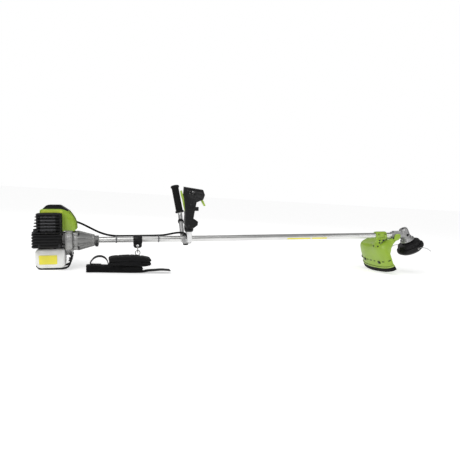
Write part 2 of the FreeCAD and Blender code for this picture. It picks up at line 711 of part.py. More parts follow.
def bump_head():
    """Two-tier line head: housing above, cover below, spool inside and knob under it."""
    outer_r = dim["head_radius"]
    housing = on_spindle([(33, 5), (33, 26), (38, 42), (42, 52), (58, 56), (58, 52), (45, 48),
                          (45, 5)])
    node("head_housing", housing)
    cover = on_spindle([(58.2, 53), (58.2, outer_r - 4), (62, outer_r), (76, outer_r),
                        (88, 50), (88, 24), (85, 24), (85, 47), (75, outer_r - 3.5),
                        (62, outer_r - 3.5), (60, 53)])
    exits = []
    for turn_side in (-1, 1):
        exits.append(rod((head_x + 68 * SPINDLE.x, 0, axis_z + 68 * SPINDLE.z), 80, 3.2,
                         turn_side * Y_AXIS))
    node("head_cover", carved(cover, *exits))
    spool = on_spindle([(47, 6), (47, 44), (49, 44), (49, 22), (66, 22), (66, 44), (68, 44),
                        (68, 18), (72, 18), (72, 6)])
    node("spool", spool)
    node("bump_knob", on_spindle([(79, 0), (79, 30), (84.6, 30), (84.6, 23.4), (95, 23.4),
                                  (100, 19), (101, 0)]))
    centre = Vector(plain(head_x), 0, plain(axis_z)) + SPINDLE * 68
    route = [Vector(0, 52, 0), Vector(4, 78, 0), Vector(16, 104, 8)]
    tails = []
    for side in (-1, 1):
        points = [centre + Vector(side * p.x, side * p.y, -p.z) for p in route]
        tails.append(shaped(pipe_shape(points, [50], DIMENSIONS["line_dia"] / 2)))
    group = doc.addObject("Part::Compound", "line_tails")
    group.Links = tails
    node("trimmer_line", group)


# ---------------------------------------------------------------- guard
# Points of the guard's plan, (backward from the spindle, to the left), near edge first.
GUARD_PLAN = [(44, -34), (92, -52), (158, -62), (184, -30), (194, 30), (198, 90), (196, 150),
              (184, 200), (150, 214), (96, 186), (58, 120), (44, 40)]
GUARD_TOP = -37.0
GUARD_RIM = 78.0
SKIRT_RIM = 92.0


def plan_wire(scale_in, depth):
    """The guard's plan drawn in by a distance towards its middle, at a depth on the spindle."""
    middle = Vector(115, 75, 0)
    points = []
    for back, left in GUARD_PLAN:
        offset = Vector(back, left, 0) - middle
        reach = offset.Length
        points.append(middle + offset * ((reach - scale_in) / reach) + Vector(0, 0, depth))
    curve = Part.BSplineCurve()
    curve.interpolate(points[1:10])
    smooth = curve.toShape()
    ends = [Part.makeLine(points[9], points[10]), Part.makeLine(points[10], points[11]),
            Part.makeLine(points[11], points[0]), Part.makeLine(points[0], points[1])]
    return Part.Wire(Part.__sortEdges__([smooth] + ends))


def guard_hood(inset, top, rim):
    levels = [(40, top), (33, top + 5), (26, top + 14), (20, top + 30), (14.5, top + 56),
              (8, rim - 30), (0, rim)]
    return Part.makeLoft([plan_wire(inset + step, depth) for step, depth in levels], True, True)


def guard_place(shape):
    """Sets a shape drawn as (backward, left, down the spindle) on the machine."""
    tilt = DIMENSIONS["guard_tilt"]
    backward = Vector(-math.cos(math.radians(tilt)), 0, -math.sin(math.radians(tilt)))
    turn = Rotation(backward, Y_AXIS, Vector(), "XYZ")
    return place(shaped(shape), (head_x, 0, axis_z), turn)


def guard_block(low, high):
    start = Vector(*low)
    return Part.makeBox(high[0] - low[0], high[1] - low[1], high[2] - low[2], start)


def open_front():
    """Space ahead of the hood's back wall, under the lip that runs along its side edges."""
    side = [(20, -14), (67, -14), (99, -9), (128, 0), (150, 16), (163, 58), (168, 120), (20, 120)]
    corners = [Vector(back, -150, down) for back, down in side]
    face = Part.Face(Part.makePolygon(corners + corners[:1]))
    return face.extrude(Vector(0, 450, 0))


def guard():
    """Lime hood behind the head, its clamp bracket, the black skirt and the cutter blade."""
    outer = guard_hood(0, GUARD_TOP, GUARD_RIM)
    inner = guard_hood(3, GUARD_TOP + 3, GUARD_RIM + 0.1)
    hood = guard_place(outer.cut(inner).cut(open_front()))
    sleeve_way = rod((1490, 0, axis_z), 180, 19.6, X_AXIS)
    head_way = on_spindle([(-45, 0), (-45, 24), (14, 24), (20, 34), (34, 34), (34, 0)])
    node("guard", carved(hood, sleeve_way, head_way))

    collar = rod((1470, 0, axis_z), 58, 19.5, X_AXIS)
    foot = guard_place(guard_block((104, -18, -41.5), (146, 26, -37.2)))
    neck = guard_place(guard_block((112, -13, -84), (146, 13, -38)))
    tube_way = rod((1460, 0, axis_z), 90, tube_r, X_AXIS)
    slit = block((1460, 10, axis_z - 1), (1540, 25, axis_z + 1))
    node("guard_bracket", carved(fused(collar, foot, neck), tube_way, slit))

    band = Part.makeLoft([plan_wire(-3, 66), plan_wire(-7, SKIRT_RIM)], True, True)
    bare = Part.makeLoft([plan_wire(-0.4, 65.9), plan_wire(-4.4, SKIRT_RIM + 0.1)], True, True)
    node("guard_skirt", guard_place(band.cut(bare).cut(open_front())))
    blade = guard_block((166, 96, 69), (189, 118, 71))
    node("line_cutter", guard_place(blade))


def report_problems():
    """Stops with the names of failed objects before anything is written."""
    failed = [item.Name for item in doc.Objects
              if "Invalid" in item.State or "Error" in item.State]
    bad = [item.Label for item in nodes if item.Shape.isNull() or not item.Shape.isValid()]
    if failed or bad:
        raise RuntimeError(f"failed objects {failed}, bad shapes {bad}")


def main():
    crankcase()
    cylinder()
    spark_plug()
    piston_group()
    crank_train()
    clutch()
    exhaust()
    covers()
    induction()
    fuel_system()
    starter()
    shaft()
    hanger()
    harness()
    handlebar_mount()
    arms()
    control_handle()
    throttle_cable()
    gear_head()
    bump_head()
    guard()
    doc.recompute()
    report_problems()
    os.makedirs("parts", exist_ok=True)
    for item in nodes:
        item.Shape.exportStep(f"parts/{item.Label}.step")


main()
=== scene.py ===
"""Looks of a petrol string trimmer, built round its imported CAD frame.

Metres, in the row frame: +X runs along the shaft to the head, +Y is the machine's left, +Z is up.
"""

import json
import math

import bmesh
import bpy
from mathutils import Matrix, Vector


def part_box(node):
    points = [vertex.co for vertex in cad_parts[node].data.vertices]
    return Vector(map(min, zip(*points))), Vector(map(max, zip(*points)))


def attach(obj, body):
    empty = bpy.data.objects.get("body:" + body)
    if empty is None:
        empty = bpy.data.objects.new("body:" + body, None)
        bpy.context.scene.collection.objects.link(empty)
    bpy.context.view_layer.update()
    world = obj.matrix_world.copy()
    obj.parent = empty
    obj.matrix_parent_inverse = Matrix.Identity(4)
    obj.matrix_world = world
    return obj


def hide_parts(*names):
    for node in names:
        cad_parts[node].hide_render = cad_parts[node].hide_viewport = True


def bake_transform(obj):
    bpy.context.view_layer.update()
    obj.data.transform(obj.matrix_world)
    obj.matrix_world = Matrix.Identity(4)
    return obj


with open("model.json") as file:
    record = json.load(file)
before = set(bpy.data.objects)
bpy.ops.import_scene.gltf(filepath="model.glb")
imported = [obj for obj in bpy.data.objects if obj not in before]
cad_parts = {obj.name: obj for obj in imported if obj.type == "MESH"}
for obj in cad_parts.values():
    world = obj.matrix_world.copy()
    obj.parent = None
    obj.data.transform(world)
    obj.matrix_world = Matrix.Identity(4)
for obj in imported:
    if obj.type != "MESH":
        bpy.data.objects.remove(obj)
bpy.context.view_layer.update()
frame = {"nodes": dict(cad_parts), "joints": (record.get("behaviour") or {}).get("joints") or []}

X, Y, Z = Vector((1, 0, 0)), Vector((0, 1, 0)), Vector((0, 0, 1))
AXIS_Z = 0.110


def mm(*numbers):
    """A point or a size given in millimetres."""
    return Vector(numbers) / 1000 if len(numbers) > 1 else numbers[0] / 1000


def flat(*pairs):
    """Pairs given in millimetres: an outline's corners, or a profile's places and radii."""
    return [(mm(a), mm(b)) for a, b in pairs]


def spokes(count, start=0):
    """Evenly spaced angles round a circle, the first one `start` steps on."""
    return [2 * math.pi * (k + start) / count for k in range(count)]


def round_shaft(x, radius, angle):
    """A point beside the shaft's axis, x and radius in millimetres."""
    return Vector((mm(x), mm(radius) * math.cos(angle), AXIS_Z + mm(radius) * math.sin(angle)))


# ---------------------------------------------------------------- materials
class Shader:
    """A node material round one Principled shader, with short calls for its usual parts."""

    def __init__(self, name, colour, rough, metal=0.0):
        self.material = bpy.data.materials.new(name)
        self.material.use_nodes = True
        self.material.diffuse_color = (*colour, 1)
        self.tree = self.material.node_tree
        self.shader = self.tree.nodes["Principled BSDF"]
        self.set("Base Color", (*colour, 1))
        self.set("Roughness", rough)
        self.set("Metallic", metal)
        self.colour = colour
        self.rough = rough
        self.place = self.node("ShaderNodeTexCoord").outputs["Object"]
        self.height = None

    def set(self, socket, value):
        self.shader.inputs[socket].default_value = value

    def node(self, kind, **inputs):
        made = self.tree.nodes.new(kind)
        for name, value in inputs.items():
            self.feed(made.inputs[name.replace("_", " ")], value)
        return made

    def feed(self, socket, value):
        if isinstance(value, bpy.types.NodeSocket):
            self.tree.links.new(value, socket)
        else:
            socket.default_value = value

    def stretched(self, scale):
        return self.node("ShaderNodeMapping", Vector=self.place, Scale=scale).outputs[0]

    def noise(self, scale, detail=4.0, place=None):
        made = self.node("ShaderNodeTexNoise", Vector=place or self.place, Scale=scale,
                         Detail=detail)
        return made.outputs[0]

    def ramp(self, value, low, high, start=0.0, end=1.0):
        made = self.node("ShaderNodeMapRange", Value=value)
        for name, number in zip(("From Min", "From Max", "To Min", "To Max"),
                                (low, high, start, end)):
            made.inputs[name].default_value = number
        return made.outputs[0]

    def maths(self, kind, a, b):
        made = self.tree.nodes.new("ShaderNodeMath")
        made.operation = kind
        self.feed(made.inputs[0], a)
        self.feed(made.inputs[1], b)
        return made.outputs[0]

    def blend(self, factor, a, b):
        made = self.tree.nodes.new("ShaderNodeMix")
        made.data_type = "RGBA"
        self.feed(made.inputs["Factor"], factor)
        for name, value in (("A", a), ("B", b)):
            socket = next(s for s in made.inputs if s.name == name and s.type == "RGBA")
            self.feed(socket, value if isinstance(value, bpy.types.NodeSocket) else (*value, 1))
        return next(s for s in made.outputs if s.type == "RGBA")

    def mottle(self, amount, scale=18.0):
        """Slow changes of colour and gloss over the surface."""
        cloud = self.noise(scale, 3.0)
        dark = tuple(c * (1 - amount) for c in self.colour)
        light = tuple(min(1, c * (1 + amount)) for c in self.colour)
        self.paint = self.blend(self.ramp(cloud, 0.3, 0.7), dark, light)
        self.feed(self.shader.inputs["Base Color"], self.paint)
        gloss = self.ramp(cloud, 0.3, 0.7, self.rough - 0.05, self.rough + 0.05)
        self.feed(self.shader.inputs["Roughness"], gloss)
        return self

    def worn(self, colour, low=0.52, high=0.6):
        """Edges rubbed to another colour, broken up by noise."""
        edge = self.ramp(self.node("ShaderNodeNewGeometry").outputs["Pointiness"], low, high)
        broken = self.maths("MULTIPLY", edge, self.ramp(self.noise(160), 0.35, 0.6))
        self.paint = self.blend(broken, self.paint, colour)
        self.feed(self.shader.inputs["Base Color"], self.paint)
        return self

    def bump(self, height, strength, distance):
        made = self.node("ShaderNodeBump", Height=height, Strength=strength, Distance=distance)
        if self.height:
            self.feed(made.inputs["Normal"], self.height)
        self.height = made.outputs[0]
        self.feed(self.shader.inputs["Normal"], self.height)
        return self

    def grain(self, scale, strength, distance=0.0002):
        return self.bump(self.noise(scale, 5.0), strength, distance)


def plastic(name, colour, rough, grain=900, strength=0.12, wear=None):
    made = Shader(name, colour, rough).mottle(0.08).grain(grain, strength)
    if wear:
        made.worn(wear)
    return made


def cast_metal(name, colour, rough):
    made = Shader(name, colour, rough, 0.75).mottle(0.14, 26).worn((0.62, 0.62, 0.61))
    return made.grain(700, 0.35, 0.0003).grain(2600, 0.2, 0.0001)


def brushed(name, colour, rough, stretch):
    """Metal drawn or ground along one direction, which is the small number in stretch."""
    made = Shader(name, colour, rough, 1.0).mottle(0.06, 9)
    lines = made.noise(1.0, 4.0, made.stretched(stretch))
    made.bump(lines, 0.12, 0.0001)
    gloss = made.ramp(lines, 0.3, 0.7, rough - 0.06, rough + 0.08)
    made.feed(made.shader.inputs["Roughness"], gloss)
    return made


def woven(name, colour, thread, rough=0.85):
    """Cloth of crossed threads, `thread` of them to the metre, with a painted highlight on the
    thread crossings.
    """
    made = Shader(name, colour, rough).mottle(0.25, 60)
    waves = []
    for turn in ((0, 0, 0), (0, 0, math.pi / 2)):
        spun = made.node("ShaderNodeMapping", Vector=made.place, Rotation=turn)
        wave = made.node("ShaderNodeTexWave", Vector=spun.outputs[0], Scale=thread / 20,
                         Distortion=0.6, Detail=1.0)
        waves.append(wave.outputs["Fac"])
    cross = made.maths("MULTIPLY", waves[0], waves[1])
    made.bump(cross, 0.5, 0.0004)
    # Painted highlight: a lighter copy of the cloth's colour laid on the thread crossings, where
    # light would catch them.
    painted_thread_highlight = tuple(min(1, c * 1.9 + 0.003) for c in colour)
    made.paint = made.blend(made.ramp(cross, 0.2, 0.9), made.paint, painted_thread_highlight)
    made.feed(made.shader.inputs["Base Color"], made.paint)
    made.set("Sheen Weight", 0.05)
    made.set("Sheen Roughness", 0.5)
    return made


def make_materials():
    made = {
        "lime": plastic("lime_gloss_plastic", (0.30, 0.46, 0.025), 0.30, 1400, 0.05,
                        (0.46, 0.60, 0.12)),
        "guard_lime": plastic("lime_guard_plastic", (0.27, 0.42, 0.03), 0.42, 1100, 0.1,
                              (0.42, 0.56, 0.14)),
        "band": plastic("yellow_green_label", (0.62, 0.74, 0.06), 0.35, 1500, 0.04),
        "black": plastic("black_moulded_plastic", (0.0055, 0.0055, 0.006), 0.42, 1300, 0.22,
                         (0.03, 0.03, 0.031)),
        "cap": plastic("black_smooth_plastic", (0.005, 0.005, 0.0055), 0.3, 1500, 0.1,
                       (0.03, 0.03, 0.031)),
        "rubber": plastic("black_rubber", (0.005, 0.005, 0.005), 0.72, 1700, 0.3),
        "cast": cast_metal("cast_aluminium", (0.30, 0.30, 0.295), 0.48),
        "gear": cast_metal("gear_case_aluminium", (0.36, 0.36, 0.36), 0.42),
        "tube": brushed("anodised_tube", (0.72, 0.72, 0.71), 0.30, (6, 900, 900)),
        "bar": brushed("anodised_bar", (0.70, 0.70, 0.70), 0.32, (500, 60, 60)),
        "steel": brushed("zinc_plated_steel", (0.52, 0.52, 0.50), 0.34, (300, 300, 40)),
        "dark_steel": brushed("black_oxide_steel", (0.045, 0.045, 0.047), 0.38, (300, 300, 300)),
        "tank": plastic("translucent_tank", (0.80, 0.80, 0.775), 0.36, 500, 0.06),
        "label": plastic("yellow_label", (0.80, 0.72, 0.06), 0.38, 1500, 0.03),
        "nylon": plastic("dark_nylon", (0.10, 0.10, 0.11), 0.5),
        "line": plastic("clear_line", (0.30, 0.31, 0.33), 0.25),
        "webbing": woven("black_webbing", (0.0045, 0.0045, 0.005), 1400),
        "mesh_cloth": woven("padded_cloth", (0.0055, 0.0055, 0.006), 800),
        "thread": woven("grey_thread", (0.02, 0.02, 0.021), 2500),
    }
    tank = made["tank"]
    tank.set("Subsurface Weight", 0.35)
    tank.set("Subsurface Radius", (0.02, 0.02, 0.018))
    tank.set("Subsurface Scale", 0.5)
    for name in ("black", "cap", "rubber", "webbing", "mesh_cloth", "thread"):
        made[name].set("Specular IOR Level", 0.2)
    for name in ("lime", "guard_lime", "band", "label"):
        made[name].set("Coat Weight", 0.15)
        made[name].set("Coat Roughness", 0.2)
    made["line"].set("Transmission Weight", 0.35)
    return {name: item.material for name, item in made.items()}


MATERIAL = make_materials()


# ---------------------------------------------------------------- mesh tools
def link(name, data):
    """A new object in the scene."""
    thing = bpy.data.objects.new(name, data)
    bpy.context.scene.collection.objects.link(thing)
    return thing


def object_of(name, bm):
    """A scene object from a finished bmesh."""
    mesh = bpy.data.meshes.new(name)
    bm.to_mesh(mesh)
    bm.free()
    return link(name, mesh)


def piece(name, bm, look, body, replaces=(), bevel=0.0, steps=2, sharp=35):
    """A finished mesh object that rides on its body."""
    bmesh.ops.recalc_face_normals(bm, faces=bm.faces)
    return dress(object_of(name, bm), look, body, replaces, bevel, steps, sharp)


def dress(thing, look, body, replaces=(), bevel=0.0, steps=2, sharp=35):
    """Gives an object its material, soft edges, body and the CAD nodes it stands for."""
    thing.data.materials.clear()
    thing.data.materials.append(MATERIAL[look])
    if bevel:
        soften(thing, bevel, steps)
    settle(thing, sharp)
    if body:
        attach(thing, body)
    if replaces:
        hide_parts(*replaces)
    return thing


def soften(thing, width, steps, angle=32):
    made = thing.modifiers.new("Bevel", "BEVEL")
    made.width = width
    made.segments = steps
    made.limit_method = "ANGLE"
    made.angle_limit = math.radians(angle)
    made.use_clamp_overlap = True


def settle(thing, sharp=35):
    """Applies the modifiers, then shades every edge under `sharp` degrees smooth."""
    graph = bpy.context.evaluated_depsgraph_get()
    final = bpy.data.meshes.new_from_object(thing.evaluated_get(graph))
    thing.modifiers.clear()
    thing.data = final
    final.shade_smooth()
    final.set_sharp_from_angle(angle=math.radians(sharp))


def slab(bm, first, last):
    """Closed solid between two rings of points."""
    near, far = ([bm.verts.new(p) for p in ring] for ring in (first, last))
    bm.faces.new(near)
    bm.faces.new(reversed(far))
    for k in range(len(near)):
        following = (k + 1) % len(near)
        bm.faces.new((near[k], far[k], far[following], near[following]))


def bridge(bm, rings):
    """Quads from each ring of vertices to the next."""
    for one, two in zip(rings, rings[1:]):
        for k in range(len(one)):
            following = (k + 1) % len(one)
            bm.faces.new((one[k], one[following], two[following], two[k]))


def prism(bm, outline, low, high, plane="XZ"):
    """Outline pushed between two values of the axis that its plane leaves out."""
    slab(bm, *([(a, t, b) if plane == "XZ" else (a, b, t) for a, b in outline]
               for t in (low, high)))


def box(bm, low, high):
    prism(bm, [(low[0], low[2]), (high[0], low[2]), (high[0], high[2]), (low[0], high[2])],
          low[1], high[1])


def mirrored_boxes(bm, low, high):
    """Two boxes in millimetres, alike on the machine's left and right."""
    for side in (-1, 1):
        right, left = sorted((side * low[1], side * high[1]))
        box(bm, mm(low[0], right, low[2]), mm(high[0], left, high[2]))


def rounded_outline(outline, radius, steps=6):
    """The outline with each corner cut to an arc of about that radius."""
    out = []
    count = len(outline)
    for k in range(count):
        before, corner, after = (Vector(outline[(k + d) % count]) for d in (-1, 0, 1))
        reach = min(radius, (before - corner).length * 0.48, (after - corner).length * 0.48)
        first = corner + (before - corner).normalized() * reach
        last = corner + (after - corner).normalized() * reach
        for step in range(steps + 1):
            t = step / steps
            out.append(tuple(first.lerp(corner, t).lerp(corner.lerp(last, t), t)))
    return out


def basis(aim):
    """A rotation whose Z is aim."""
    return Vector(aim).to_track_quat("Z", "Y").to_matrix()


def lathe(bm, profile, start, aim, steps=48):
    """Solid turned about aim: profile points are (distance along it, radius)."""
    turn = basis(aim)
    rings = []
    for along, radius in profile:
        if radius < 1e-7:
            rings.append([bm.verts.new(start + turn @ Vector((0, 0, along)))])
            continue
        spots = (Vector((radius * math.cos(angle), radius * math.sin(angle), along))
                 for angle in spokes(steps))
        rings.append([bm.verts.new(start + turn @ spot) for spot in spots])
    closed = len(rings[0]) > 1 and len(rings[-1]) > 1
    pairs = list(zip(rings, rings[1:])) + ([(rings[-1], rings[0])] if closed else [])
    for one, two in pairs:
        for k in range(steps):
            following = (k + 1) % steps
            corners = [one[k % len(one)], one[following % len(one)],
                       two[following % len(two)], two[k % len(two)]]
            corners = list(dict.fromkeys(corners))
            if len(corners) > 2:
                bm.faces.new(corners)


def sweep(bm, points, section, upright=Z, closed=False):
    """Section of (side, up) points carried along the points, kept upright."""
    rings = []
    count = len(points)
    for k, point in enumerate(points):
        if closed:
            ahead = points[(k + 1) % count] - points[k - 1]
        else:
            ahead = points[min(k + 1, count - 1)] - points[max(k - 1, 0)]
        ahead = ahead.normalized()
        side = ahead.cross(upright)
        side = side.normalized() if side.length > 1e-6 else X
        up = side.cross(ahead)
        rings.append([bm.verts.new(point + side * a + up * b) for a, b in section])
    bridge(bm, rings + rings[:1] if closed else rings)
    if not closed:
        bm.faces.new(reversed(rings[0]))
        bm.faces.new(rings[-1])


def circle(radius, steps=16):
    return [(radius * math.cos(angle), radius * math.sin(angle)) for angle in spokes(steps)]


def bolt(bm, spot, aim, radius, height=None):
    """Socket-head screw on a washer, its head standing off the surface along aim."""
    height = height or radius * 1.1
    washer = radius * 1.55
    lathe(bm, [(-0.001, 0), (-0.001, washer), (0.0008, washer), (0.001, washer - 0.0003),
               (0.001, radius), (height * 0.85, radius), (height, radius * 0.86),
               (height, radius * 0.55), (height * 0.4, radius * 0.5), (height * 0.4, 0)],
          Vector(spot), aim, 24)


def curve_points(route, steps=12):
    """Points along the route's own NURBS line."""
    made = bpy.data.curves.new("line", "CURVE")
    made.dimensions = "3D"
    made.resolution_u = steps
    spline = made.splines.new("NURBS")
    spline.points.add(len(route) - 1)
    for point, spot in zip(spline.points, route):
        point.co = (*spot, 1)
    spline.order_u = 3
    spline.use_endpoint_u = True
    thing = bpy.data.objects.new("line", made)
    mesh = bpy.data.meshes.new_from_object(thing)
    points = [v.co.copy() for v in mesh.vertices]
    bpy.data.objects.remove(thing)
    return points


# ---------------------------------------------------------------- engine
def hoop(bm, plan, section):
    """Closed band: section is a loop of (outward, height), plan(outward) gives the outline."""
    rings = [[bm.verts.new((a, b, height)) for a, b in plan(outward)]
             for outward, height in section]
    bridge(bm, rings + rings[:1])


def cover_plan(left, right, front, corner):
    """Outline of the silencer cover, straight on the side that meets the engine."""
    back = mm(-38.6)

    def plan(outward):
        outline = [(left - outward, back), (left - outward, front - outward),
                   (right + min(outward, mm(2)), front - outward),
                   (right + min(outward, mm(2)), back)]
        return rounded_outline(outline, corner + max(outward, 0), 5)
    return plan


def muffler_cover():
    """Louvred cage: sloping fins on posts, a rounded roof and a wider ribbed shroud below."""
    bm = bmesh.new()
    upper = cover_plan(mm(-50), mm(42), mm(-82), mm(13))
    lower = cover_plan(mm(-65.5), mm(40), mm(-83), mm(14))
    for step in range(6):
        low = mm(146.5 + 12.2 * step)
        reach = mm(14.5 - 1.7 * step)
        hoop(bm, upper, [(mm(-4), low + mm(3.6)), (mm(-4), low + mm(7.4)), (reach, low + mm(5)),
                         (reach + mm(0.8), low + mm(3.4)), (reach, low + mm(2))])
    for x in (-46, -15, 14, 38):
        box(bm, mm(x - 2.2, -84.5, 140), mm(x + 2.2, -78, 219))
    for x in (-51, 39):
        for y in (-66, -46):
            box(bm, mm(x - 1, y - 2, 140), mm(x + 4, y + 2, 219))
    section = [(mm(-5), mm(91))]
    for step in range(5):
        low = 91 + 11.6 * step
        section += flat((3, low), (4.6, low + 1.6), (4.6, low + 5.6), (3, low + 7.2),
                        (0.6, low + 8.2), (0.6, low + 10.6))
    section += flat((-1, 149), (-8, 152), (-8, 149), (-3.5, 146))
    hoop(bm, lower, section)
    roof = flat((-5, 216), (1.5, 216), (3, 218), (2.6, 221), (0, 224), (-5, 225.4), (-18, 225.8),
                (-18, 222.5), (-5, 222))
    hoop(bm, upper, roof)
    prism(bm, upper(mm(-17)), mm(222.4), mm(226.2), "XY")
    piece("silencer_cover", bm, "black", "root", ["muffler_cover"], mm(0.7))

    # Black box filling the cage behind the louvres: a dark sheet that stands in for the shade
    # inside the cover, so the slots read dark.
    bm = bmesh.new()
    box(bm, mm(-45.5, -77.6, 148), mm(38, -41, 220))
    piece("silencer_shade_backing", bm, "black", "root", (), mm(2))
    # Grey strips on the fins' front lips: painted highlights standing in for glints along the
    # louvres' upper edges.
    bm = bmesh.new()
    for step in range(1, 6):
        front = -82 - (14.5 - 1.7 * step)
        low = 146.5 + 12.2 * step
        box(bm, mm(-34, front - 1, low + 2.8), mm(21, front + 1, low + 4.6))
    piece("silencer_painted_louvre_glints", bm, "nylon", "root", (), mm(0.4))

    bm = bmesh.new()
    for x, z in ((-40, 99), (34, 99), (-36, 221)):
        bolt(bm, mm(x, -86.4 if z < 120 else -83, z), -Y, mm(3.4))
    piece("silencer_cover_screws", bm, "dark_steel", "root")


def shell_from(outline, low, high, name, look, replaces, edge, floor_z, wall):
    """Hollow cover open below floor_z: the outline pushed across, rounded, then walled."""
    bm = bmesh.new()
    prism(bm, outline, low, high)
    thing = object_of("cover", bm)
    soften(thing, edge, 5, 50)
    settle(thing)
    bm = bmesh.new()
    bm.from_mesh(thing.data)
    bpy.data.objects.remove(thing)
    bmesh.ops.recalc_face_normals(bm, faces=bm.faces)
    under = [f for f in bm.faces if f.calc_center_median().z < floor_z and f.normal.z < -0.3]
    bmesh.ops.delete(bm, geom=under, context="FACES")
    made = piece(name, bm, look, None)
    wall_up = made.modifiers.new("Solidify", "SOLIDIFY")
    wall_up.thickness = wall
    wall_up.offset = -1
    return dress(made, look, "root", replaces)


def engine_covers():
    """Lime cover with its raised panels and rim, the black cap and the plain bright band."""
    outline = rounded_outline(flat((-42, 150), (-42, 234), (-36, 240), (40, 240), (64, 231),
                                   (84, 206), (93, 182), (93, 156), (88, 150.4)), mm(7), 4)
    shell_from(outline, mm(-37.5), mm(37.5), "engine_top_cover", "lime", ["engine_cover"],
               mm(7.5), mm(152), mm(2.2))
    bm = bmesh.new()
    front = [(50, 157), (50, 219), (60, 219), (74, 203), (82, 184), (83, 162), (79, 157)]
    for side in (-1, 1):
        low, high = sorted((mm(side * 36.4), mm(side * 38.6)))
        prism(bm, rounded_outline(flat(*front), mm(5)), low, high)
    piece("cover_side_panels", bm, "lime", "root", (), mm(1.1), 3)

    bm = bmesh.new()
    edge = [mm(66, -38, 233), mm(86, -38, 207), mm(95.4, -38, 182), mm(95.4, -38, 158)]
    for side in (-29, 29):
        line = curve_points([Vector((p.x, mm(side), p.z)) for p in edge])
        sweep(bm, line, circle(mm(2.1), 10), Y)
    piece("cover_rim_beads", bm, "lime", "root")
    # Black strips beside the rim beads and a row of black blocks on the front face: they darken
    # these lines of the cover.
    bm = bmesh.new()
    for side in (-24.5, 24.5):
        line = curve_points([Vector((p.x - mm(0.9), mm(side), p.z)) for p in edge])
        sweep(bm, line, circle(mm(1.6), 8), Y)
    for step in range(5):
        box(bm, mm(93, -15 + 6 * step, 160), mm(94.6, -12 + 6 * step, 178))
    piece("cover_front_dark_strips", bm, "rubber", "root")

    roof = rounded_outline(flat((-33, 239.4), (-17, 255), (36, 255), (69, 232.8), (64, 230.2),
                                (40, 238.9)), mm(4), 4)
    bm = bmesh.new()
    prism(bm, roof, mm(-28), mm(28))
    piece("top_cap_shell", bm, "cap", "root", ["top_cap"], mm(3), 4)
    bm = bmesh.new()
    for y in (-15, -5, 5, 15):
        prism(bm, rounded_outline(flat((-12, 254), (-9, 256.2), (33, 256.2), (38, 254)), mm(1.5)),
              mm(y - 1.6), mm(y + 1.6))
    piece("top_cap_ribs", bm, "cap", "root", (), mm(0.6))

    bm = bmesh.new()
    band = rounded_outline(flat((-36, 225), (-36, 233), (-31, 235.6), (38, 235.6), (44, 232.5),
                                (44, 225)), mm(2))
    prism(bm, band, mm(-38), mm(-37.2))
    piece("cover_band_label", bm, "band", "root", (), mm(0.15), 1)


def fuel_tank():
    """Blown tank: pillowed walls, a seam round the middle and a plain label."""
    bm = bmesh.new()
    outline = rounded_outline(flat((-60, 4.5), (-60, 74), (-50, 83), (44, 83), (52, 76), (52, 4.5)),
                               mm(20), 7)
    prism(bm, outline, mm(-55), mm(55))
    tank = piece("fuel_tank_body", bm, "tank", None, (), mm(9), 5)
    for vertex in tank.data.vertices:
        spot = vertex.co
        crown = math.cos(math.pi * min(1, abs(spot.x + mm(4)) / mm(58)) / 2)
        crown *= math.cos(math.pi * min(1, abs(spot.z - mm(43)) / mm(42)) / 2)
        if abs(spot.y) > mm(54):
            spot.y += math.copysign(mm(0.8) * crown, spot.y)
    dress(tank, "tank", "root", ["fuel_tank"])
    bm = bmesh.new()
    rings = [[bm.verts.new((a + math.copysign(out, a), y, b + math.copysign(out, b)))
              for a, b in outline]
             for out, y in flat((-1, -1.3), (1.1, -1), (1.1, 1), (-1, 1.3))]
    bridge(bm, rings + rings[:1])
    lathe(bm, flat((0, 0), (0, 16), (3, 15), (8, 15), (8, 0)), mm(-14, 50, 48), Y)
    piece("fuel_tank_seam", bm, "tank", "root")

    bm = bmesh.new()
    label = rounded_outline(flat((-45, 22), (-46, 58), (22, 58), (22, 22)), mm(3))
    prism(bm, label, mm(-56.1), mm(-55.0))
    piece("fuel_tank_label", bm, "label", "root", (), mm(0.2), 1)

    bm = bmesh.new()
    lathe(bm, flat((0, 0), (0, 15.4), (0, 18.6), (19, 18.6), (21.5, 16), (21.5, 11), (20, 9),
                   (20, 0)), mm(-14, 58.4, 48), Y, 64)
    for angle in spokes(24):
        spot = mm(-14, 0, 48) + Vector((math.cos(angle), 0, math.sin(angle))) * mm(18.3)
        lathe(bm, flat((0, 0), (0, 1.5), (17, 1.5), (18.5, 0.6), (18.5, 0)),
              Vector((spot.x, mm(59.5), spot.z)), Y, 8)
    box(bm, mm(-29, 77, 45.5), mm(1, 83, 50.5))
    piece("fuel_cap_knurled", bm, "black", "tank_cap", ["fuel_cap"], mm(0.5))


def tank_stand():
    """Two curved rails under and ahead of the tank, joined by bars."""
    bm = bmesh.new()
    line = [(-56, 18), (-50, 9), (-42, 4), (-30, 3.4), (-4, 3.4), (40, 3.4), (56, 5),
            (67, 14), (73, 32), (76, 48), (75, 62)]
    for side in (-45, 45):
        points = curve_points([mm(a, side, b) for a, b in line], 6)
        section = rounded_outline(flat((-3.3, -9), (3.3, -9), (3.3, 9), (-3.3, 9)), mm(1.4), 2)
        sweep(bm, points, section, Y)
        rib = [p + Vector((0, math.copysign(mm(6.6), side), 0)) for p in points[40:]]
        sweep(bm, rib, circle(mm(3.2), 8), Y)
    for a, b, thick in ((-44, 0.3, 3.4), (0, 0.3, 3.4), (40, 0.3, 3.4), (70, 30, 5), (73, 56, 5)):
        box(bm, mm(a - 6, -38, b), mm(a + 3, 38, b + thick))
    for a, b in ((62, 22), (68, 44)):
        mirrored_boxes(bm, (a - 3.5, 31, b - 2), (a + 9, 45, b + 1.6))
    piece("tank_stand_rails", bm, "black", "root", ["tank_stand"], mm(0.9))


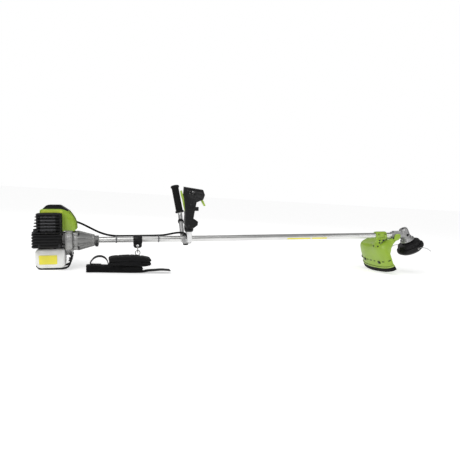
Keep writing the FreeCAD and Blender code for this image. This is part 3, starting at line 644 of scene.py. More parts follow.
def castings():
    """Ribs, bosses and screws that dress the crankcase, the fan drum and the clutch cone."""
    bm = bmesh.new()
    for angle in spokes(8, 0.5):
        out = Vector((0, math.cos(angle), math.sin(angle)))
        across = out.cross(X) * mm(1.6)
        profile = [(96, 37), (98, 41.8), (104, 42), (162, 25.2), (165, 22), (165, 19), (104, 35)]
        slab(bm, *([mm(a, 0, 110) + out * mm(r) + across * shift for a, r in profile]
                   for shift in (-1, 1)))
    for angle in spokes(4, 0.5):
        lathe(bm, flat((0, 0), (0, 8), (20, 8), (22, 7), (22, 0)), round_shaft(79, 40, angle), X,
              24)
    lathe(bm, flat((0, 21), (1, 23.6), (14, 23.9), (16, 22.6), (16, 18)), mm(150, 0, 110), X)
    piece("clutch_cone_ribs", bm, "cast", "root", (), mm(0.6))

    bm = bmesh.new()
    for angle in spokes(6, 0.5):
        lathe(bm, flat((0, 0), (0, 7.5), (24, 7.5), (25.4, 6.6), (25.4, 0)),
              round_shaft(54.2, 52, angle), X, 24)
    for z in (76, 90, 104, 118, 132):
        mirrored_boxes(bm, (4, 25, z), (54, 33, z + 3))
    mirrored_boxes(bm, (26, 26, 66), (30, 34.5, 146))
    lathe(bm, flat((0, 54), (0, 59.4), (3.2, 59.4), (3.2, 54)), mm(54, 0, 110), X, 72)
    piece("crankcase_ribs", bm, "cast", "root", (), mm(0.7))

    bm = bmesh.new()
    for angle in spokes(4, 0.5):
        bolt(bm, round_shaft(101, 40, angle), X, mm(4.2), mm(5))
    for angle in spokes(6, 0.5):
        bolt(bm, round_shaft(79.6, 52, angle), X, mm(3), mm(3.4))
    for x, z in ((12, 139), (40, 139), (12, 83)):
        bolt(bm, mm(x, -34.3, z), -Y, mm(3.2))
    for z in (92.5, 108):
        bolt(bm, mm(173.5, -15.5, z), -Y, mm(4.8), mm(6.4))
    for y, z in ((-36, 146), (36, 146), (-36, 92), (36, 92)):
        bolt(bm, mm(-70.2, y, z), -X, mm(3.2), mm(2.4))
    piece("engine_screws", bm, "dark_steel", "root")


def left_side():
    """Filter cover with its vents and wing screw, and the rope between housing and handle."""
    bm = bmesh.new()
    outline = rounded_outline(flat((-36, 130), (-36, 200), (-28, 208), (30, 208), (38, 200),
                                   (38, 138), (30, 130)), mm(9), 5)
    prism(bm, outline, mm(79.2), mm(113.5))
    for step in range(5):
        inner = rounded_outline(flat((-28, 142 + 12 * step), (-28, 147 + 12 * step),
                                     (-8, 147 + 12 * step), (-8, 142 + 12 * step)), mm(1.5), 2)
        prism(bm, inner, mm(112.5), mm(115))
    for step in range(4):
        box(bm, mm(-37.2, 84, 148 + 11 * step), mm(-34, 108, 152 + 11 * step))
    piece("air_filter_lid", bm, "black", "root", ["air_filter_cover"], mm(3), 4)
    bm = bmesh.new()
    lathe(bm, flat((0, 0), (0, 9), (2, 10), (3, 9), (3, 0)), mm(14, 112.6, 170), Y, 32)
    for side in (-1, 1):
        low, high = sorted((14, 14 + side * 10))
        box(bm, mm(low, 113, 168.2), mm(high, 116, 171.8))
    piece("air_filter_wing_screw", bm, "cap", "root", (), mm(0.8))

    bm = bmesh.new()
    line = [mm(-56, 41 + 0.75 * k, 128) for k in range(11)]
    sweep(bm, line, circle(mm(1.6), 10), Z)
    rope = piece("starter_rope", bm, "thread", None)
    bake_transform(rope)
    bm = bmesh.new()
    for step in range(4):
        lathe(bm, flat((0, 6), (0, 8), (1.8, 8.4), (3.6, 8), (3.6, 6)),
              mm(-56, 58, 113.6 + 8 * step), Z, 24)
    piece("starter_handle_ribs", bm, "rubber", "rope_handle")


# ---------------------------------------------------------------- shaft and cable
CABLE_R = mm(4.2)
CABLE_ROUTE = [mm(23, 62, 181), mm(52, 58, 190), mm(96, 44, 184), mm(140, 26, 163),
               mm(185, 13, 139.5), mm(232, 10.6, 125.6), mm(290, 10.6, 124.4),
               mm(350, 10.6, 124.7), mm(405, 10.6, 124.4), mm(450, 10, 125.2),
               mm(482, 6, 131.6), mm(512, -2, 137.5), mm(541, -6, 135.5), mm(541, -52, 128.5),
               mm(540, -84, 127), mm(537, -118, 134.5), mm(525, -150, 151.5),
               mm(513, -176, 163.5), mm(510, -193, 177), mm(510, -195, 195)]


def throttle_cable():
    """One cable on its route's NURBS line, running past the handlebar's tilt joint."""
    line = curve_points(CABLE_ROUTE, 10)
    bm = bmesh.new()
    sweep(bm, line, circle(CABLE_R, 14), Y)
    cable = piece("throttle_cable_line", bm, "rubber", None,
                  ["throttle_cable", "handle_cable"])
    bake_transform(cable)

    bm = bmesh.new()
    lathe(bm, flat((0, 0), (0, 6.2), (6, 6.2), (9, 5), (24, 4.7), (26, 4.3), (26, 0)),
          line[0] - mm(0, 0, 0.6), (line[3] - line[0]).normalized(), 20)
    piece("cable_sleeve_engine", bm, "cap", "root")

    bm = bmesh.new()
    for x in (252, 428):
        spot = mm(x, 0, 110)
        outline = []
        for angle in spokes(40):
            out = Vector((math.cos(angle), math.sin(angle)))
            near_cable = Vector((mm(10.6), mm(14.6))).normalized().dot(out)
            reach = mm(13.6) if near_cable < 0.86 else mm(13.6 + 62 * (near_cable - 0.86))
            outline.append(out * reach)
        line_round = [spot + Vector((0, p.x, p.y)) for p in outline]
        tape = rounded_outline(flat((-0.7, -2.2), (0.7, -2.2), (0.7, 2.2), (-0.7, 2.2)), mm(0.4),
                               2)
        sweep(bm, line_round, tape, X, closed=True)
        box(bm, spot + mm(-3.2, -17.6, 2), spot + mm(3.2, -13.4, 8))
    piece("cable_ties", bm, "nylon", "root", (), mm(0.3))


def tube_details():
    """Plain band label in two lengths along the tube."""
    bm = bmesh.new()
    for low, high, first, last in ((1014, 1128, 196, 232), (1136, 1212, 196, 232)):
        rings = []
        for radius in (13.06, 13.22):
            ring = []
            for k in range(13):
                angle = math.radians(first + (last - first) * k / 12)
                spot = mm(0, radius * math.cos(angle), radius * math.sin(angle))
                ring.append([bm.verts.new(mm(x, 0, 110) + spot) for x in (low, high)])
            rings.append(ring)
        inner, outer = rings
        for k in range(12):
            bm.faces.new((outer[k][0], outer[k][1], outer[k + 1][1], outer[k + 1][0]))
            bm.faces.new((inner[k][0], inner[k + 1][0], inner[k + 1][1], inner[k][1]))
            for end in (0, 1):
                bm.faces.new((inner[k][end], outer[k][end], outer[k + 1][end],
                              inner[k + 1][end]))
        for k in (0, 12):
            bm.faces.new((inner[k][0], inner[k][1], outer[k][1], outer[k][0]))
    piece("tube_band_label", bm, "label", "root")


def hanger():
    """Screws and edge ribs of the hanger clamp."""
    bm = bmesh.new()
    for x in (328.5, 351.5):
        bolt(bm, mm(x, -5.2, 88), -Y, mm(2.6), mm(3))
    piece("hanger_screws", bm, "dark_steel", "root")
    bm = bmesh.new()
    for x in (323.2, 340, 356.8):
        ring = [(x - 1.5, 16.3), (x - 1.5, 17.6), (x + 1.5, 17.6), (x + 1.5, 16.3)]
        points = [round_shaft(x, 17.2, math.radians(115 + 15 * k)) for k in range(12)]
        section = [(mm(r - 17.2), mm(a - x)) for a, r in ring]
        sweep(bm, points, section, X)
    piece("hanger_ribs", bm, "black", "root", (), mm(0.3))


# ---------------------------------------------------------------- handlebar
def left_grip():
    """Ribbed rubber grip with a flange at each end, round the left arm's top."""
    top, below = mm(531, 221, 334), mm(552, 190, 202)
    aim = (top - below).normalized()
    start = top - aim * mm(125)
    profile = [(0, 10.2), (0, 18), (1.5, 20), (4, 20.6), (7, 19.5), (9.5, 17.3)]
    for step in range(17):
        low = 11 + 6.3 * step
        profile += [(low, 16.6), (low + 0.7, 15.5), (low + 1.7, 15.5), (low + 2.4, 16.6)]
    profile += [(118.5, 17), (121, 19.2), (124, 20.4), (127.5, 20), (130.2, 17.5), (131.4, 13),
                (131.6, 0)]
    bm = bmesh.new()
    lathe(bm, flat(*profile) + flat((125.4, 0), (125.4, 10.2)), start, aim, 56)
    piece("left_grip_ribbed", bm, "rubber", "handlebar", ["left_grip"], sharp=28)
    bm = bmesh.new()
    top, below = mm(545, 110, 136), mm(552, 190, 202)
    lathe(bm, flat((-6, 10.1), (-6, 12.4), (-5, 13), (5, 13), (6, 12.4), (6, 10.1)),
          below.lerp(top, 0.42), (top - below).normalized(), 40)
    piece("arm_clip", bm, "black", "handlebar")


HANDLE_HUB = mm(523, -206, 166)
HANDLE_LEAN = Matrix.Rotation(math.atan2(13, 152), 3, "X")


def leaned(spot):
    """A point drawn on the upright control handle, leaned outward with its arm."""
    return HANDLE_HUB + HANDLE_LEAN @ (spot - HANDLE_HUB)


def control_handle():
    """Screws, finger ribs, rails, switch ridges and a collar on the moulded control handle."""
    def lean(bm):
        for vertex in bm.verts:
            vertex.co = leaned(vertex.co)

    bm = bmesh.new()
    for x, z in ((512, 322), (566, 312), (525, 268), (519, 186)):
        bolt(bm, mm(x, -224.6, z), -Y, mm(2.3), mm(1.2))
    lean(bm)
    piece("handle_screws", bm, "dark_steel", "handlebar")

    bm = bmesh.new()
    for k in range(9):
        low = 205 + 7 * k
        outline = flat((507, low), (535 + 0.4 * k, low - 1), (535.6 + 0.4 * k, low + 2.2),
                       (507, low + 3.2))
        for side in (-225.9, -187.2):
            prism(bm, rounded_outline(outline, mm(1.2), 3), mm(side), mm(side + 1.1))
    for z in (331, 318):
        rail = [mm(506, -225, z - 1.2), mm(570, -225, z - 12)]
        sweep(bm, [rail[0].lerp(rail[1], k / 8) for k in range(9)], circle(mm(1.0), 8), Z)
    lean(bm)
    piece("handle_grip_ribs", bm, "black", "handlebar", (), mm(0.3))

    bm = bmesh.new()
    for k in range(4):
        box(bm, mm(522.6 + 2.4 * k, -229.2, 308.6), mm(523.8 + 2.4 * k, -227.6, 315.4))
    lean(bm)
    piece("switch_ridges", bm, "cap", "switch", (), mm(0.2))
    bm = bmesh.new()
    lathe(bm, flat((0, 10.2), (0, 15), (3, 17), (10, 17.5), (12, 15), (12, 10.2)),
          leaned(mm(523, -206, 160)), leaned(mm(523, -206, 170)) - leaned(mm(523, -206, 160)), 48)
    piece("handle_collar", bm, "cap", "handlebar", (), mm(0.5))


def handlebar_mount():
    """Cap screws of the handlebar clamp and the lobed knob on its stem."""
    bm = bmesh.new()
    for side in (-1, 1):
        for x in (533, 557):
            bolt(bm, mm(x, side * 21, 128.4), Z, mm(2.8), mm(3.6))
    piece("clamp_screws", bm, "dark_steel", "root")
    bm = bmesh.new()
    lobes = []
    for angle in spokes(60):
        reach = mm(10.5 + 1.5 * math.cos(5 * angle))
        lobes.append((mm(545) + reach * math.cos(angle), reach * math.sin(angle)))
    prism(bm, lobes, mm(82.5), mm(90.4), "XY")
    lathe(bm, flat((0, 0), (0, 5.4), (2.4, 5.4), (2.4, 0)), mm(545, 0, 90.2), Z, 24)
    lathe(bm, flat((0, 0), (0, 2.8), (11, 2.8), (11, 0)), mm(545, 0, 84), Z, 20)
    piece("clamp_knob_lobed", bm, "black", "bar_knob", ["clamp_knob"], mm(0.9), 3)


# ---------------------------------------------------------------- strap and pad
GROUND_FALL = 2.82  # degrees along the shaft
STRAP_Y = -85


def ribbon(bm, line, width, thick, middle_y, steps=8):
    """Flat webbing on edge to the Y axis: a line of (x, z) points given a width along Y."""
    half = thick / 2
    section = []
    for k in range(steps + 1):
        across = -width / 2 + width * k / steps
        section.append((half, across))
    for k in range(steps, -1, -1):
        across = -width / 2 + width * k / steps
        section.append((-half, across))
    sweep(bm, [Vector((a, middle_y, b)) for a, b in line], section, Y)


def smooth_line(points, steps=8):
    """(x, z) points read from the NURBS line through the given millimetre corners."""
    return [(p.x, p.z) for p in curve_points([mm(a, 0, b) for a, b in points], steps)]


def ground(x):
    """Height of the floor in millimetres under a place on the shaft."""
    return -x * math.tan(math.radians(GROUND_FALL))


def strap_webbing():
    """One long strap folded to and fro on the ground, with its loop and its loose tail."""
    left, right = 138, 348
    corners = [(466, ground(466) + 11.5), (436, ground(436) + 14.5), (400, ground(400) + 11),
               (372, ground(372) + 9), (354, ground(345) + 3.4), (300, ground(300) + 2.2),
               (left + 30, ground(150) + 2.2)]
    step = 4.8
    for k in range(5):
        height = 1.8 + step * k
        end, bulge = (left, -5) if k % 2 == 0 else (right, 5)
        other = right if end == left else left
        floor = ground(end)
        corners += [(end - bulge * 0.6, floor + height), (end + bulge, floor + height + 1),
                    (end + bulge, floor + height + step - 1),
                    (end - bulge * 0.6, floor + height + step)]
        for share in (0.3, 0.7):
            x = end + (other - end) * share
            corners.append((x, ground(x) + height + step + 0.5 * math.sin(5 * share + k)))
    corners = corners[:-2]
    corners += [(300, 11.4), (250, 13.6), (228, 15), (217.5, 20), (214.5, 36), (204, 50),
                (184, 56), (164, 50), (152, 36), (146.5, 26), (150, 21.4), (168, 20.6),
                (190, 19.6)]
    bm = bmesh.new()
    line = smooth_line(corners)
    ribbon(bm, line, mm(48), mm(2.2), mm(STRAP_Y))
    strap = piece("strap_folded", bm, "webbing", "harness", ["strap_webbing"], sharp=60)

    bm = bmesh.new()
    for edge in (-20.5, 20.5):
        for k in range(0, len(line) - 2, 3):
            a, b = line[k], line[k + 1]
            middle = ((a[0] + b[0]) / 2, (a[1] + b[1]) / 2)
            aim = Vector((b[0] - a[0], 0, b[1] - a[1]))
            if aim.length < mm(0.5):
                continue
            up = Vector((0, 1, 0)).cross(aim).normalized() * mm(1.15)
            for side in (-1, 1):
                spot = Vector((middle[0], mm(STRAP_Y + edge), middle[1])) + up * side
                sweep(bm, [spot - aim.normalized() * mm(1.3), spot + aim.normalized() * mm(1.3)],
                      circle(mm(0.45), 6), Y)
    piece("strap_stitching", bm, "thread", "harness")


def swell(thing, most):
    """Air pressure crowns a closed form; no point moves further than `most`."""
    remesh = thing.modifiers.new("Remesh", "REMESH")
    remesh.mode = "VOXEL"
    remesh.voxel_size = mm(4.5)
    settle(thing)
    before = [v.co.copy() for v in thing.data.vertices]
    cloth = thing.modifiers.new("Cloth", "CLOTH")
    cloth.settings.use_pressure = True
    cloth.settings.uniform_pressure_force = 4
    cloth.settings.effector_weights.gravity = 0
    cloth.point_cache.frame_start, cloth.point_cache.frame_end = 1, 20
    for step in range(1, 21):
        bpy.context.scene.frame_set(step)
    settle(thing)
    bpy.context.scene.frame_set(1)
    for vertex, old in zip(thing.data.vertices, before):
        move = vertex.co - old
        if move.length > most:
            vertex.co = old + move.normalized() * most


PAD_Y = (mm(-111), mm(-37))


def shoulder_pad():
    """Padded cushion folded in two, bound along its edges, with channels sewn across it."""
    leaves = {
        "shoulder_pad_upper": [(219, 33), (217, 42), (226, 49.5), (300, 50), (330, 48.5),
                               (384, 41), (389, 36), (388, 28.5), (340, 30.5), (300, 32.5)],
        "shoulder_pad_lower": [(220, 17.5), (218, 24), (224, 29.5), (300, 28.5), (386, 26),
                               (389, 21), (386, 13.5), (350, 12.5), (250, 17)]}
    channels = [mm(258), mm(305), mm(348)]
    for name, corners in leaves.items():
        bm = bmesh.new()
        outline = rounded_outline(flat(*corners), mm(5), 3)
        prism(bm, outline, *PAD_Y)
        leaf = piece(name, bm, "mesh_cloth", None, (), mm(4), 3)
        swell(leaf, mm(4))
        made = leaf.modifiers.new("Subdivision", "SUBSURF")
        made.levels = made.render_levels = 1
        settle(leaf, 180)
        middle = Vector((mm(302), sum(PAD_Y) / 2, sum(mm(b) for a, b in corners) / len(corners)))
        for vertex in leaf.data.vertices:
            spot = vertex.co
            near = min(abs(spot.x - x) for x in channels)
            pinch = math.exp(-(near / mm(2.4)) ** 2) * mm(1.7)
            spot.z -= math.copysign(pinch, spot.z - middle.z)
        dress(leaf, "mesh_cloth", "harness",
              ["shoulder_pad"] if name.endswith("upper") else (), sharp=180)
        binding(name, leaf, corners, middle)


def binding(name, leaf, corners, middle):
    """Tape bound round the leaf's two long edges, found on its own swelled surface."""
    graph = bpy.context.evaluated_depsgraph_get()
    skin = leaf.evaluated_get(graph)
    bm = bmesh.new()
    for y in PAD_Y:
        points = []
        for angle in spokes(72):
            out = Vector((math.cos(angle), 0, 0.35 * math.sin(angle)))
            start = Vector((middle.x, y * 0.96 + sum(PAD_Y) * 0.02, middle.z)) + out * mm(140)
            target = Vector((middle.x + math.cos(angle) * mm(70), start.y, middle.z))
            hit, spot, normal, face = skin.ray_cast(start, (target - start).normalized())
            if hit:
                points.append(spot + normal * mm(0.4))
        sweep(bm, points, circle(mm(1.5), 8), Y, closed=True)
    piece(name + "_binding", bm, "webbing", "harness")


# ---------------------------------------------------------------- gear head and guard
JOINT = {item["name"]: item for item in frame["joints"]}
HEAD = Vector(JOINT["head_spin"]["pos_m"])
SPIN = Vector(JOINT["head_spin"]["axis"])
TILT = math.radians(31)
BACK = Vector((-math.cos(TILT), 0, -math.sin(TILT)))
DOWN = Vector((math.sin(TILT), 0, -math.cos(TILT)))
GUARD_PLAN = [(44, -34), (92, -52), (158, -62), (184, -30), (194, 30), (197, 88), (191, 146),
              (175, 191), (144, 205), (96, 184), (58, 120), (44, 40)]
GUARD_LEVELS = [(62, -38), (52, -37.2), (44, -35), (37, -30.5), (31, -24), (26, -15), (22, -4),
                (18, 8), (14.5, 22), (10.5, 38), (6, 54), (2, 68), (0, 74)]
OPENING = [(10, -14), (60, -14), (90, -9), (117, 0), (138, 16), (152, 58), (157, 130), (10, 130)]


def closed_spline(points, share):
    """Catmull-Rom point on a closed polygon, share running from 0 to its point count."""
    count = len(points)
    k = int(math.floor(share)) % count
    t = share - math.floor(share)
    a, b, c, d = (Vector(points[(k + step) % count]) for step in (-1, 0, 1, 2))
    return 0.5 * (2 * b + (c - a) * t + (2 * a - 5 * b + 4 * c - d) * t * t
                  + (3 * b - a - 3 * c + d) * t ** 3)


def guard_spot(back, left, down):
    """Row-frame place of a point given in millimetres backward, left and down the guard."""
    return HEAD + BACK * mm(back) + Y * mm(left) + DOWN * mm(down)


def guard_wall(share, inset, down, out=0.0):
    """A point of the hood's wall: plan place, inset towards the middle, and depth."""
    plan = closed_spline(GUARD_PLAN, share)
    middle = Vector((115, 75))
    away = plan - middle
    reach = away.length - inset + out
    spot = middle + away.normalized() * reach
    return guard_spot(spot.x, spot.y, down)


def inset_at(down):
    for (one, top), (two, low) in zip(GUARD_LEVELS, GUARD_LEVELS[1:]):
        if top <= down <= low:
            return one + (two - one) * (down - top) / (low - top)
    return GUARD_LEVELS[-1][0]


def cut_open(thing):
    """Takes the space ahead of the guard's back wall out of a piece."""
    bm = bmesh.new()
    slab(bm, *([guard_spot(a, left, b) for a, b in OPENING] for left in (-140, 300)))
    carve(thing, bm)


def carve(thing, bm):
    """Boolean difference with the closed mesh in bm."""
    bmesh.ops.recalc_face_normals(bm, faces=bm.faces)
    cutter = object_of("cutter", bm)
    cut = thing.modifiers.new("Boolean", "BOOLEAN")
    cut.operation = "DIFFERENCE"
    cut.solver = "EXACT"
    cut.object = cutter
    bpy.context.view_layer.update()
    settle(thing)
    bpy.data.objects.remove(cutter)


def wall_mesh(levels, thickness, samples=120, crown=True):
    """Closed-walled hood or band: an outer and an inner skin through the levels."""
    bm = bmesh.new()
    count = len(GUARD_PLAN)
    skins = []
    for side in (0, 1):
        rings = []
        for inset, down in levels:
            depth = down + (thickness if crown and side and down < -30 else 0)
            rings.append([bm.verts.new(guard_wall(count * k / samples, inset, depth,
                                                  -thickness * side))
                          for k in range(samples)])
        skins.append(rings)
    for rings in skins:
        bridge(bm, rings)
    outer, inner = skins
    bridge(bm, [outer[-1], inner[-1]])
    if crown:
        for rings in skins:
            bm.faces.new(rings[0])
    else:
        bridge(bm, [outer[0], inner[0]])
    return bm


def guard():
    """Lime hood with a rolled lip and rim bead, black skirt, clips, and black blocks of painted
    shade where the slots are.
    """
    hood = piece("guard_hood", wall_mesh(GUARD_LEVELS, 3), "guard_lime", "root", ["guard"])
    cut_open(hood)
    bm = bmesh.new()
    lathe(bm, flat((-46, 0), (-46, 24), (14, 24), (20, 34), (34, 34), (34, 0)), HEAD, SPIN, 48)
    carve(hood, bm)
    bm = bmesh.new()
    lathe(bm, flat((0, 0), (0, 19.6), (190, 19.6), (190, 0)), mm(1480, 0, 110), X, 48)
    carve(hood, bm)

    lip = [(inset_at(66) + 0.4, 66), (inset_at(67) - 2.2, 67), (inset_at(70) - 3.2, 70),
           (inset_at(72) - 2.4, 72.6), (inset_at(73) + 0.4, 73.4)]
    bead = piece("guard_lower_lip", wall_mesh(lip, 1.2, crown=False), "guard_lime", "root")
    cut_open(bead)
    skirt_levels = [(0.5, 66), (-1.4, 74), (-2.6, 80), (-4.2, 87), (-4.8, 91.4)]
    skirt = piece("guard_skirt_band", wall_mesh(skirt_levels, 2.6, crown=False), "rubber",
                  "root", ["guard_skirt"])
    cut_open(skirt)

    bm = bmesh.new()
    # The slots are not cut open: black blocks on the wall stand in for the shade inside them, as
    # painted shade.
    slot_shades = (2.12, 2.98, 4.15, 4.75, 5.35, 6.3, 6.7)
    clips = (3.52, 5.85, 7.1)
    for share in slot_shades:
        patch_on_wall(bm, share, 41, 13, 4, 1.3)
    for share in clips:
        patch_on_wall(bm, share, 44, 17, 12, 3)
    piece("guard_slot_shades_and_clips", bm, "black", "root", (), mm(0.3))

    bm = bmesh.new()
    ear = rounded_outline(flat((1562, 86), (1565, 112), (1571, 118), (1592, 118), (1597, 110),
                               (1596, 100), (1588, 90), (1572, 84)), mm(5), 5)
    prism(bm, ear, mm(-26.5), mm(-22.5))
    piece("guard_front_ear", bm, "guard_lime", "root", (), mm(1.2), 3)


def patch_on_wall(bm, share, down, width, height, proud):
    """Small raised block that follows the hood's wall."""
    here = guard_wall(share, inset_at(down), down)
    ahead = guard_wall(share + 0.02, inset_at(down), down)
    above = guard_wall(share, inset_at(down - 2), down - 2)
    along = (ahead - here).normalized()
    up = (above - here).normalized()
    out = along.cross(up).normalized()
    middle = guard_spot(115, 75, down)
    if out.dot(here - middle) < 0:
        out = -out
    corners = [(-1, -1), (1, -1), (1, 1), (-1, 1)]
    slab(bm, *([here + along * a * mm(width / 2) + up * b * mm(height / 2) + out * mm(depth)
                for a, b in corners] for depth in (-1.6, proud)))


def guard_bracket():
    """Collar on the tube with a plate that lies over the hood's shoulder, held by screws."""
    bm = bmesh.new()
    lathe(bm, flat((0, 13.05), (0, 18), (1.5, 19.4), (54, 19.4), (56, 18), (56, 13.05)),
          mm(1471, 0, 110), X, 56)
    for x in (1478, 1514):
        box(bm, mm(x - 4, -23.5, 103.5), mm(x + 8, 23.5, 109.3))
        box(bm, mm(x - 4, -23.5, 110.7), mm(x + 8, 23.5, 116.5))
    piece("guard_collar", bm, "guard_lime", "root", ["guard_bracket"], mm(0.8))

    bm = bmesh.new()
    top = [(1476, -18, 99), (1491, -19, 99), (1507, -19, 99), (1522, -18, 99)]
    shares = [3.7, 3.2, 2.7, 2.25]
    rows = []
    for (x, y, z), share in zip(top, shares):
        start = mm(x, y, z)
        knee = guard_wall(share, 52, -37.2, 2) + DOWN * mm(-5)
        foot = guard_wall(share, inset_at(-26), -26, 3.2)
        line = curve_points([start, start.lerp(knee, 0.7), knee, foot], 5)
        rows.append([line[round(k * (len(line) - 1) / 14)] for k in range(15)])
    fine = []
    for k in range(13):
        t = k / 12 * (len(rows) - 1)
        i = min(int(t), len(rows) - 2)
        fine.append([a.lerp(b, t - i) for a, b in zip(rows[i], rows[i + 1])])
    grid = [[bm.verts.new(p) for p in line] for line in fine]
    for one, two in zip(grid, grid[1:]):
        for k in range(len(one) - 1):
            bm.faces.new((one[k], one[k + 1], two[k + 1], two[k]))
    plate = piece("guard_bracket_plate", bm, "guard_lime", None)
    thick = plate.modifiers.new("Solidify", "SOLIDIFY")
    thick.thickness = mm(3)
    thick.offset = 0
    dress(plate, "guard_lime", "root", (), mm(0.8))

    bm = bmesh.new()
    for i, k in ((6, 2), (11, 2), (10, 6), (2, 12), (8, 12)):
        here = fine[i][k]
        along = (fine[i + 1][k] - fine[i - 1][k]).normalized()
        fall = (fine[i][min(k + 1, 14)] - fine[i][k - 1]).normalized()
        out = along.cross(fall)
        out = out if out.dot(here - mm(1540, 40, 60)) > 0 else -out
        bolt(bm, here + out.normalized() * mm(1.2), out, mm(2.7), mm(2.4))
    for x in (1480, 1516):
        bolt(bm, mm(x, -19.6, 116.4), Z, mm(2.8), mm(3))
        bolt(bm, mm(x, 19.6, 116.4), Z, mm(2.8), mm(3))
    piece("guard_screws", bm, "dark_steel", "root")


def gear_case():
    """Ribs, filler screw, clamp screws and the stacked flange of the gear case."""
    bm = bmesh.new()
    for k in range(5):
        low = -24 + 7 * k
        lathe(bm, flat((low, 20), (low, 22.4), (low + 1.6, 22.4), (low + 1.6, 20)), HEAD, SPIN, 64)
    for angle in spokes(8):
        lathe(bm, flat((0, 0), (0, 3.6), (14, 3.6), (15, 2.8), (15, 0)),
              HEAD + SPIN * mm(14) + around_head(angle) * mm(25.5), SPIN, 16)
    lathe(bm, flat((22, 26), (22, 33.4), (25, 34), (29.5, 34), (29.5, 26)), HEAD, SPIN, 64)
    for y in (-8, 0, 8):
        box(bm, mm(1570, y - 1.2, 124), mm(1628, y + 1.2, 131))
    piece("gear_case_ribs", bm, "gear", "root", (), mm(0.5))
    bm = bmesh.new()
    for side in (-1, 1):
        bolt(bm, mm(1566, side * 14, 94), Y * side, mm(3.2), mm(4))
    bolt(bm, HEAD + SPIN * mm(-3) - Y * mm(21), -Y, mm(4), mm(4))
    bolt(bm, HEAD + SPIN * mm(-36), -SPIN, mm(3.6), mm(2.4))
    for angle in spokes(4, 0.5):
        bolt(bm, HEAD + SPIN * mm(21.6) + around_head(angle) * mm(28.5), -SPIN, mm(2.4), mm(2.4))
    piece("gear_case_screws", bm, "dark_steel", "root")


def around_head(angle):
    """Unit vector square to the spindle."""
    return Y * math.cos(angle) + SPIN.cross(Y) * math.sin(angle)


def line_head():
    """Ribs, vents and eyelets of the spinning head, its knurled knob and the two line tails."""
    bm = bmesh.new()
    for angle in spokes(24):
        out = around_head(angle)
        across = SPIN.cross(out) * mm(1.4)
        for profile in (((36, 34), (38, 42.6), (43, 53.5), (58, 57.4), (58, 50)),
                        ((59.5, 55), (59.5, 61.8), (62.5, 65.4), (75.5, 65.4), (87, 51.6),
                         (87, 40))):
            slab(bm, *([HEAD + SPIN * mm(a) + out * mm(r) + across * shift for a, r in profile]
                       for shift in (-1, 1)))
    piece("head_ribs", bm, "black", "line_head", (), mm(0.4))

    bm = bmesh.new()
    for side in (-1, 1):
        lathe(bm, flat((59, 2), (59, 4.4), (65, 4.6), (67.4, 4), (68, 2.8), (67, 2)),
              HEAD + SPIN * mm(68), Y * side, 24)
    piece("head_eyelets", bm, "steel", "line_head")

    bm = bmesh.new()
    for angle in spokes(16):
        lathe(bm, flat((88.6, 0), (88.6, 2), (98, 2), (99.5, 1), (99.5, 0)),
              HEAD + around_head(angle) * mm(20.6), SPIN, 8)
    piece("bump_knob_ribs", bm, "black", "knob")

    centre = HEAD + SPIN * mm(68)
    route = [(0, 50, 0), (4, 64, -4), (22, 74, -6), (46, 78, 1), (62, 76, 13)]
    bm = bmesh.new()
    for side in (-1, 1):
        points = curve_points([centre + mm(-side * a, side * b, -c) for a, b, c in route], 10)
        sweep(bm, points, circle(mm(1.25), 10), Z)
    piece("line_tails", bm, "line", "line_head", ["trimmer_line"])


# ---------------------------------------------------------------- CAD nodes that stay
KEPT = {
    "cast": ("crankcase_rear", "crankcase_front", "cylinder", "clutch_housing", "piston",
             "flywheel", "carburettor"),
    "gear": ("gear_case", "handlebar_clamp"),
    "tube": ("shaft_tube",),
    "bar": ("left_arm", "right_arm"),
    "steel": ("crankshaft", "connecting_rod", "clutch_shoes", "clutch_drum", "drive_shaft",
              "input_pinion", "output_gear", "spark_plug", "throttle_arm", "line_cutter",
              "hanger_ring", "strap_hook"),
    "dark_steel": ("muffler",),
    "black": ("starter_housing", "starter_handle", "starter_pulley", "ignition_coil",
              "choke_lever", "hanger_clamp", "stop_switch", "start_button", "handle_left",
              "handle_right", "head_housing", "head_cover", "bump_knob"),
    "lime": ("throttle_trigger", "throttle_lock"),
    "rubber": ("primer_bulb",),
    "nylon": ("shaft_bushings", "spool"),
}
PLAIN_EDGES = ("shaft_tube", "left_arm", "right_arm", "drive_shaft", "hanger_ring", "strap_hook")


def finish_nodes():
    """Welds and softens the edges of the CAD nodes with modifiers, and paints them."""
    for look, names in KEPT.items():
        for name in names:
            thing = frame["nodes"][name]
            thing.data.materials.clear()
            thing.data.materials.append(MATERIAL[look])
            weld = thing.modifiers.new("Weld", "WELD")
            weld.merge_threshold = 1e-5
            if name not in PLAIN_EDGES:
                soften(thing, mm(0.7), 2, 38)
                thing.modifiers["Bevel"].harden_normals = True


# ---------------------------------------------------------------- stage
CAMERA_AT = (0.1924, -2.0527, 0.3280)
CAMERA_TURN = (15.056, 4.916, 0.637)  # yaw, pitch and roll in degrees
CAMERA_LENS = 37.565


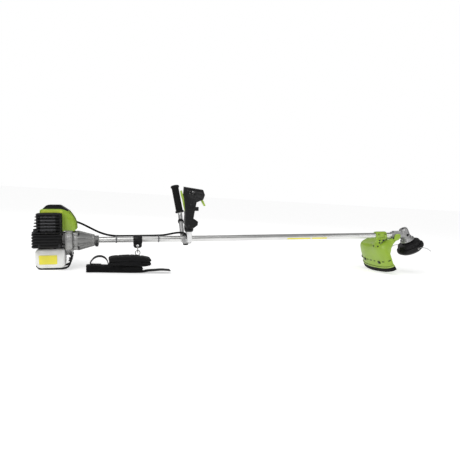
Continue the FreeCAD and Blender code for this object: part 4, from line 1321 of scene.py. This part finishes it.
def make_stage():
    """Pale floor through the stand's foot and the skirt's lowest edge, and soft lights."""
    skirt_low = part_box("guard_skirt")[0]
    fall = math.atan2(skirt_low.z - mm(0.4), mm(1530))
    mesh = bpy.data.meshes.new("floor")
    reach = 40
    mesh.from_pydata([(-reach, -reach, 0), (reach, -reach, 0), (reach, reach, 0),
                      (-reach, reach, 0)], [], [(0, 1, 2, 3)])
    floor = link("floor", mesh)
    floor.rotation_euler = (0, -fall, 0)
    floor.location = (0, 0, -mm(0.6))
    shade = Shader("floor", (0.9, 0.9, 0.9), 0.6)
    shade.set("Emission Color", (1, 1, 1, 1))
    shade.set("Emission Strength", 0.5)
    mesh.materials.append(shade.material)

    world = bpy.data.worlds.new("studio")
    bpy.context.scene.world = world
    world.use_nodes = True
    tree = world.node_tree
    seen = tree.nodes.new("ShaderNodeLightPath").outputs["Is Camera Ray"]
    strength = tree.nodes.new("ShaderNodeMapRange")
    tree.links.new(seen, strength.inputs["Value"])
    strength.inputs["To Min"].default_value = 0.26
    strength.inputs["To Max"].default_value = 1.0
    back = tree.nodes["Background"]
    back.inputs["Color"].default_value = (1, 1, 1, 1)
    tree.links.new(strength.outputs["Result"], back.inputs["Strength"])
    bpy.context.scene.view_settings.view_transform = "Standard"

    target = mm(800, 0, 60)
    lamps = (("sun", "SUN", (-0.9, -2.2, 3.4), 1.2, 1.25),
             ("key", "AREA", (-0.8, -2.4, 2.6), 1.2, 20),
             ("fill", "AREA", (3.2, -2.0, 1.2), 1.2, 8), ("rim", "AREA", (0.9, 2.8, 2.2), 1.6, 10))
    for name, kind, spot, size, power in lamps:
        lamp = bpy.data.lights.new(name, kind)
        if kind == "SUN":
            lamp.angle = size
        else:
            lamp.size = size
        lamp.energy = power
        thing = link(name, lamp)
        thing.location = spot
        thing.rotation_mode = "QUATERNION"
        thing.rotation_quaternion = (target - Vector(spot)).to_track_quat("-Z", "Y")


def make_camera():
    """Eye point, direction and lens of the main view."""
    yaw, pitch, roll = (math.radians(angle) for angle in CAMERA_TURN)
    level = Vector((math.sin(yaw), math.cos(yaw), 0))
    ahead = level * math.cos(pitch) - Z * math.sin(pitch)
    up = level * math.sin(pitch) + Z * math.cos(pitch)
    right = Vector((math.cos(yaw), -math.sin(yaw), 0))
    turned_right = right * math.cos(roll) + up * math.sin(roll)
    turned_up = up * math.cos(roll) - right * math.sin(roll)
    lens = bpy.data.cameras.new("camera")
    lens.sensor_width = 36
    lens.lens = CAMERA_LENS
    lens.clip_start, lens.clip_end = 0.05, 200
    camera = link("camera", lens)
    turn = Matrix((turned_right, turned_up, -ahead)).transposed().to_4x4()
    camera.matrix_world = Matrix.Translation(CAMERA_AT) @ turn
    bpy.context.scene.camera = camera


make_camera()
throttle_cable()
muffler_cover()
engine_covers()
fuel_tank()
tank_stand()
castings()
left_side()
tube_details()
hanger()
left_grip()
control_handle()
handlebar_mount()
strap_webbing()
shoulder_pad()
guard()
guard_bracket()
gear_case()
line_head()
finish_nodes()
make_stage()
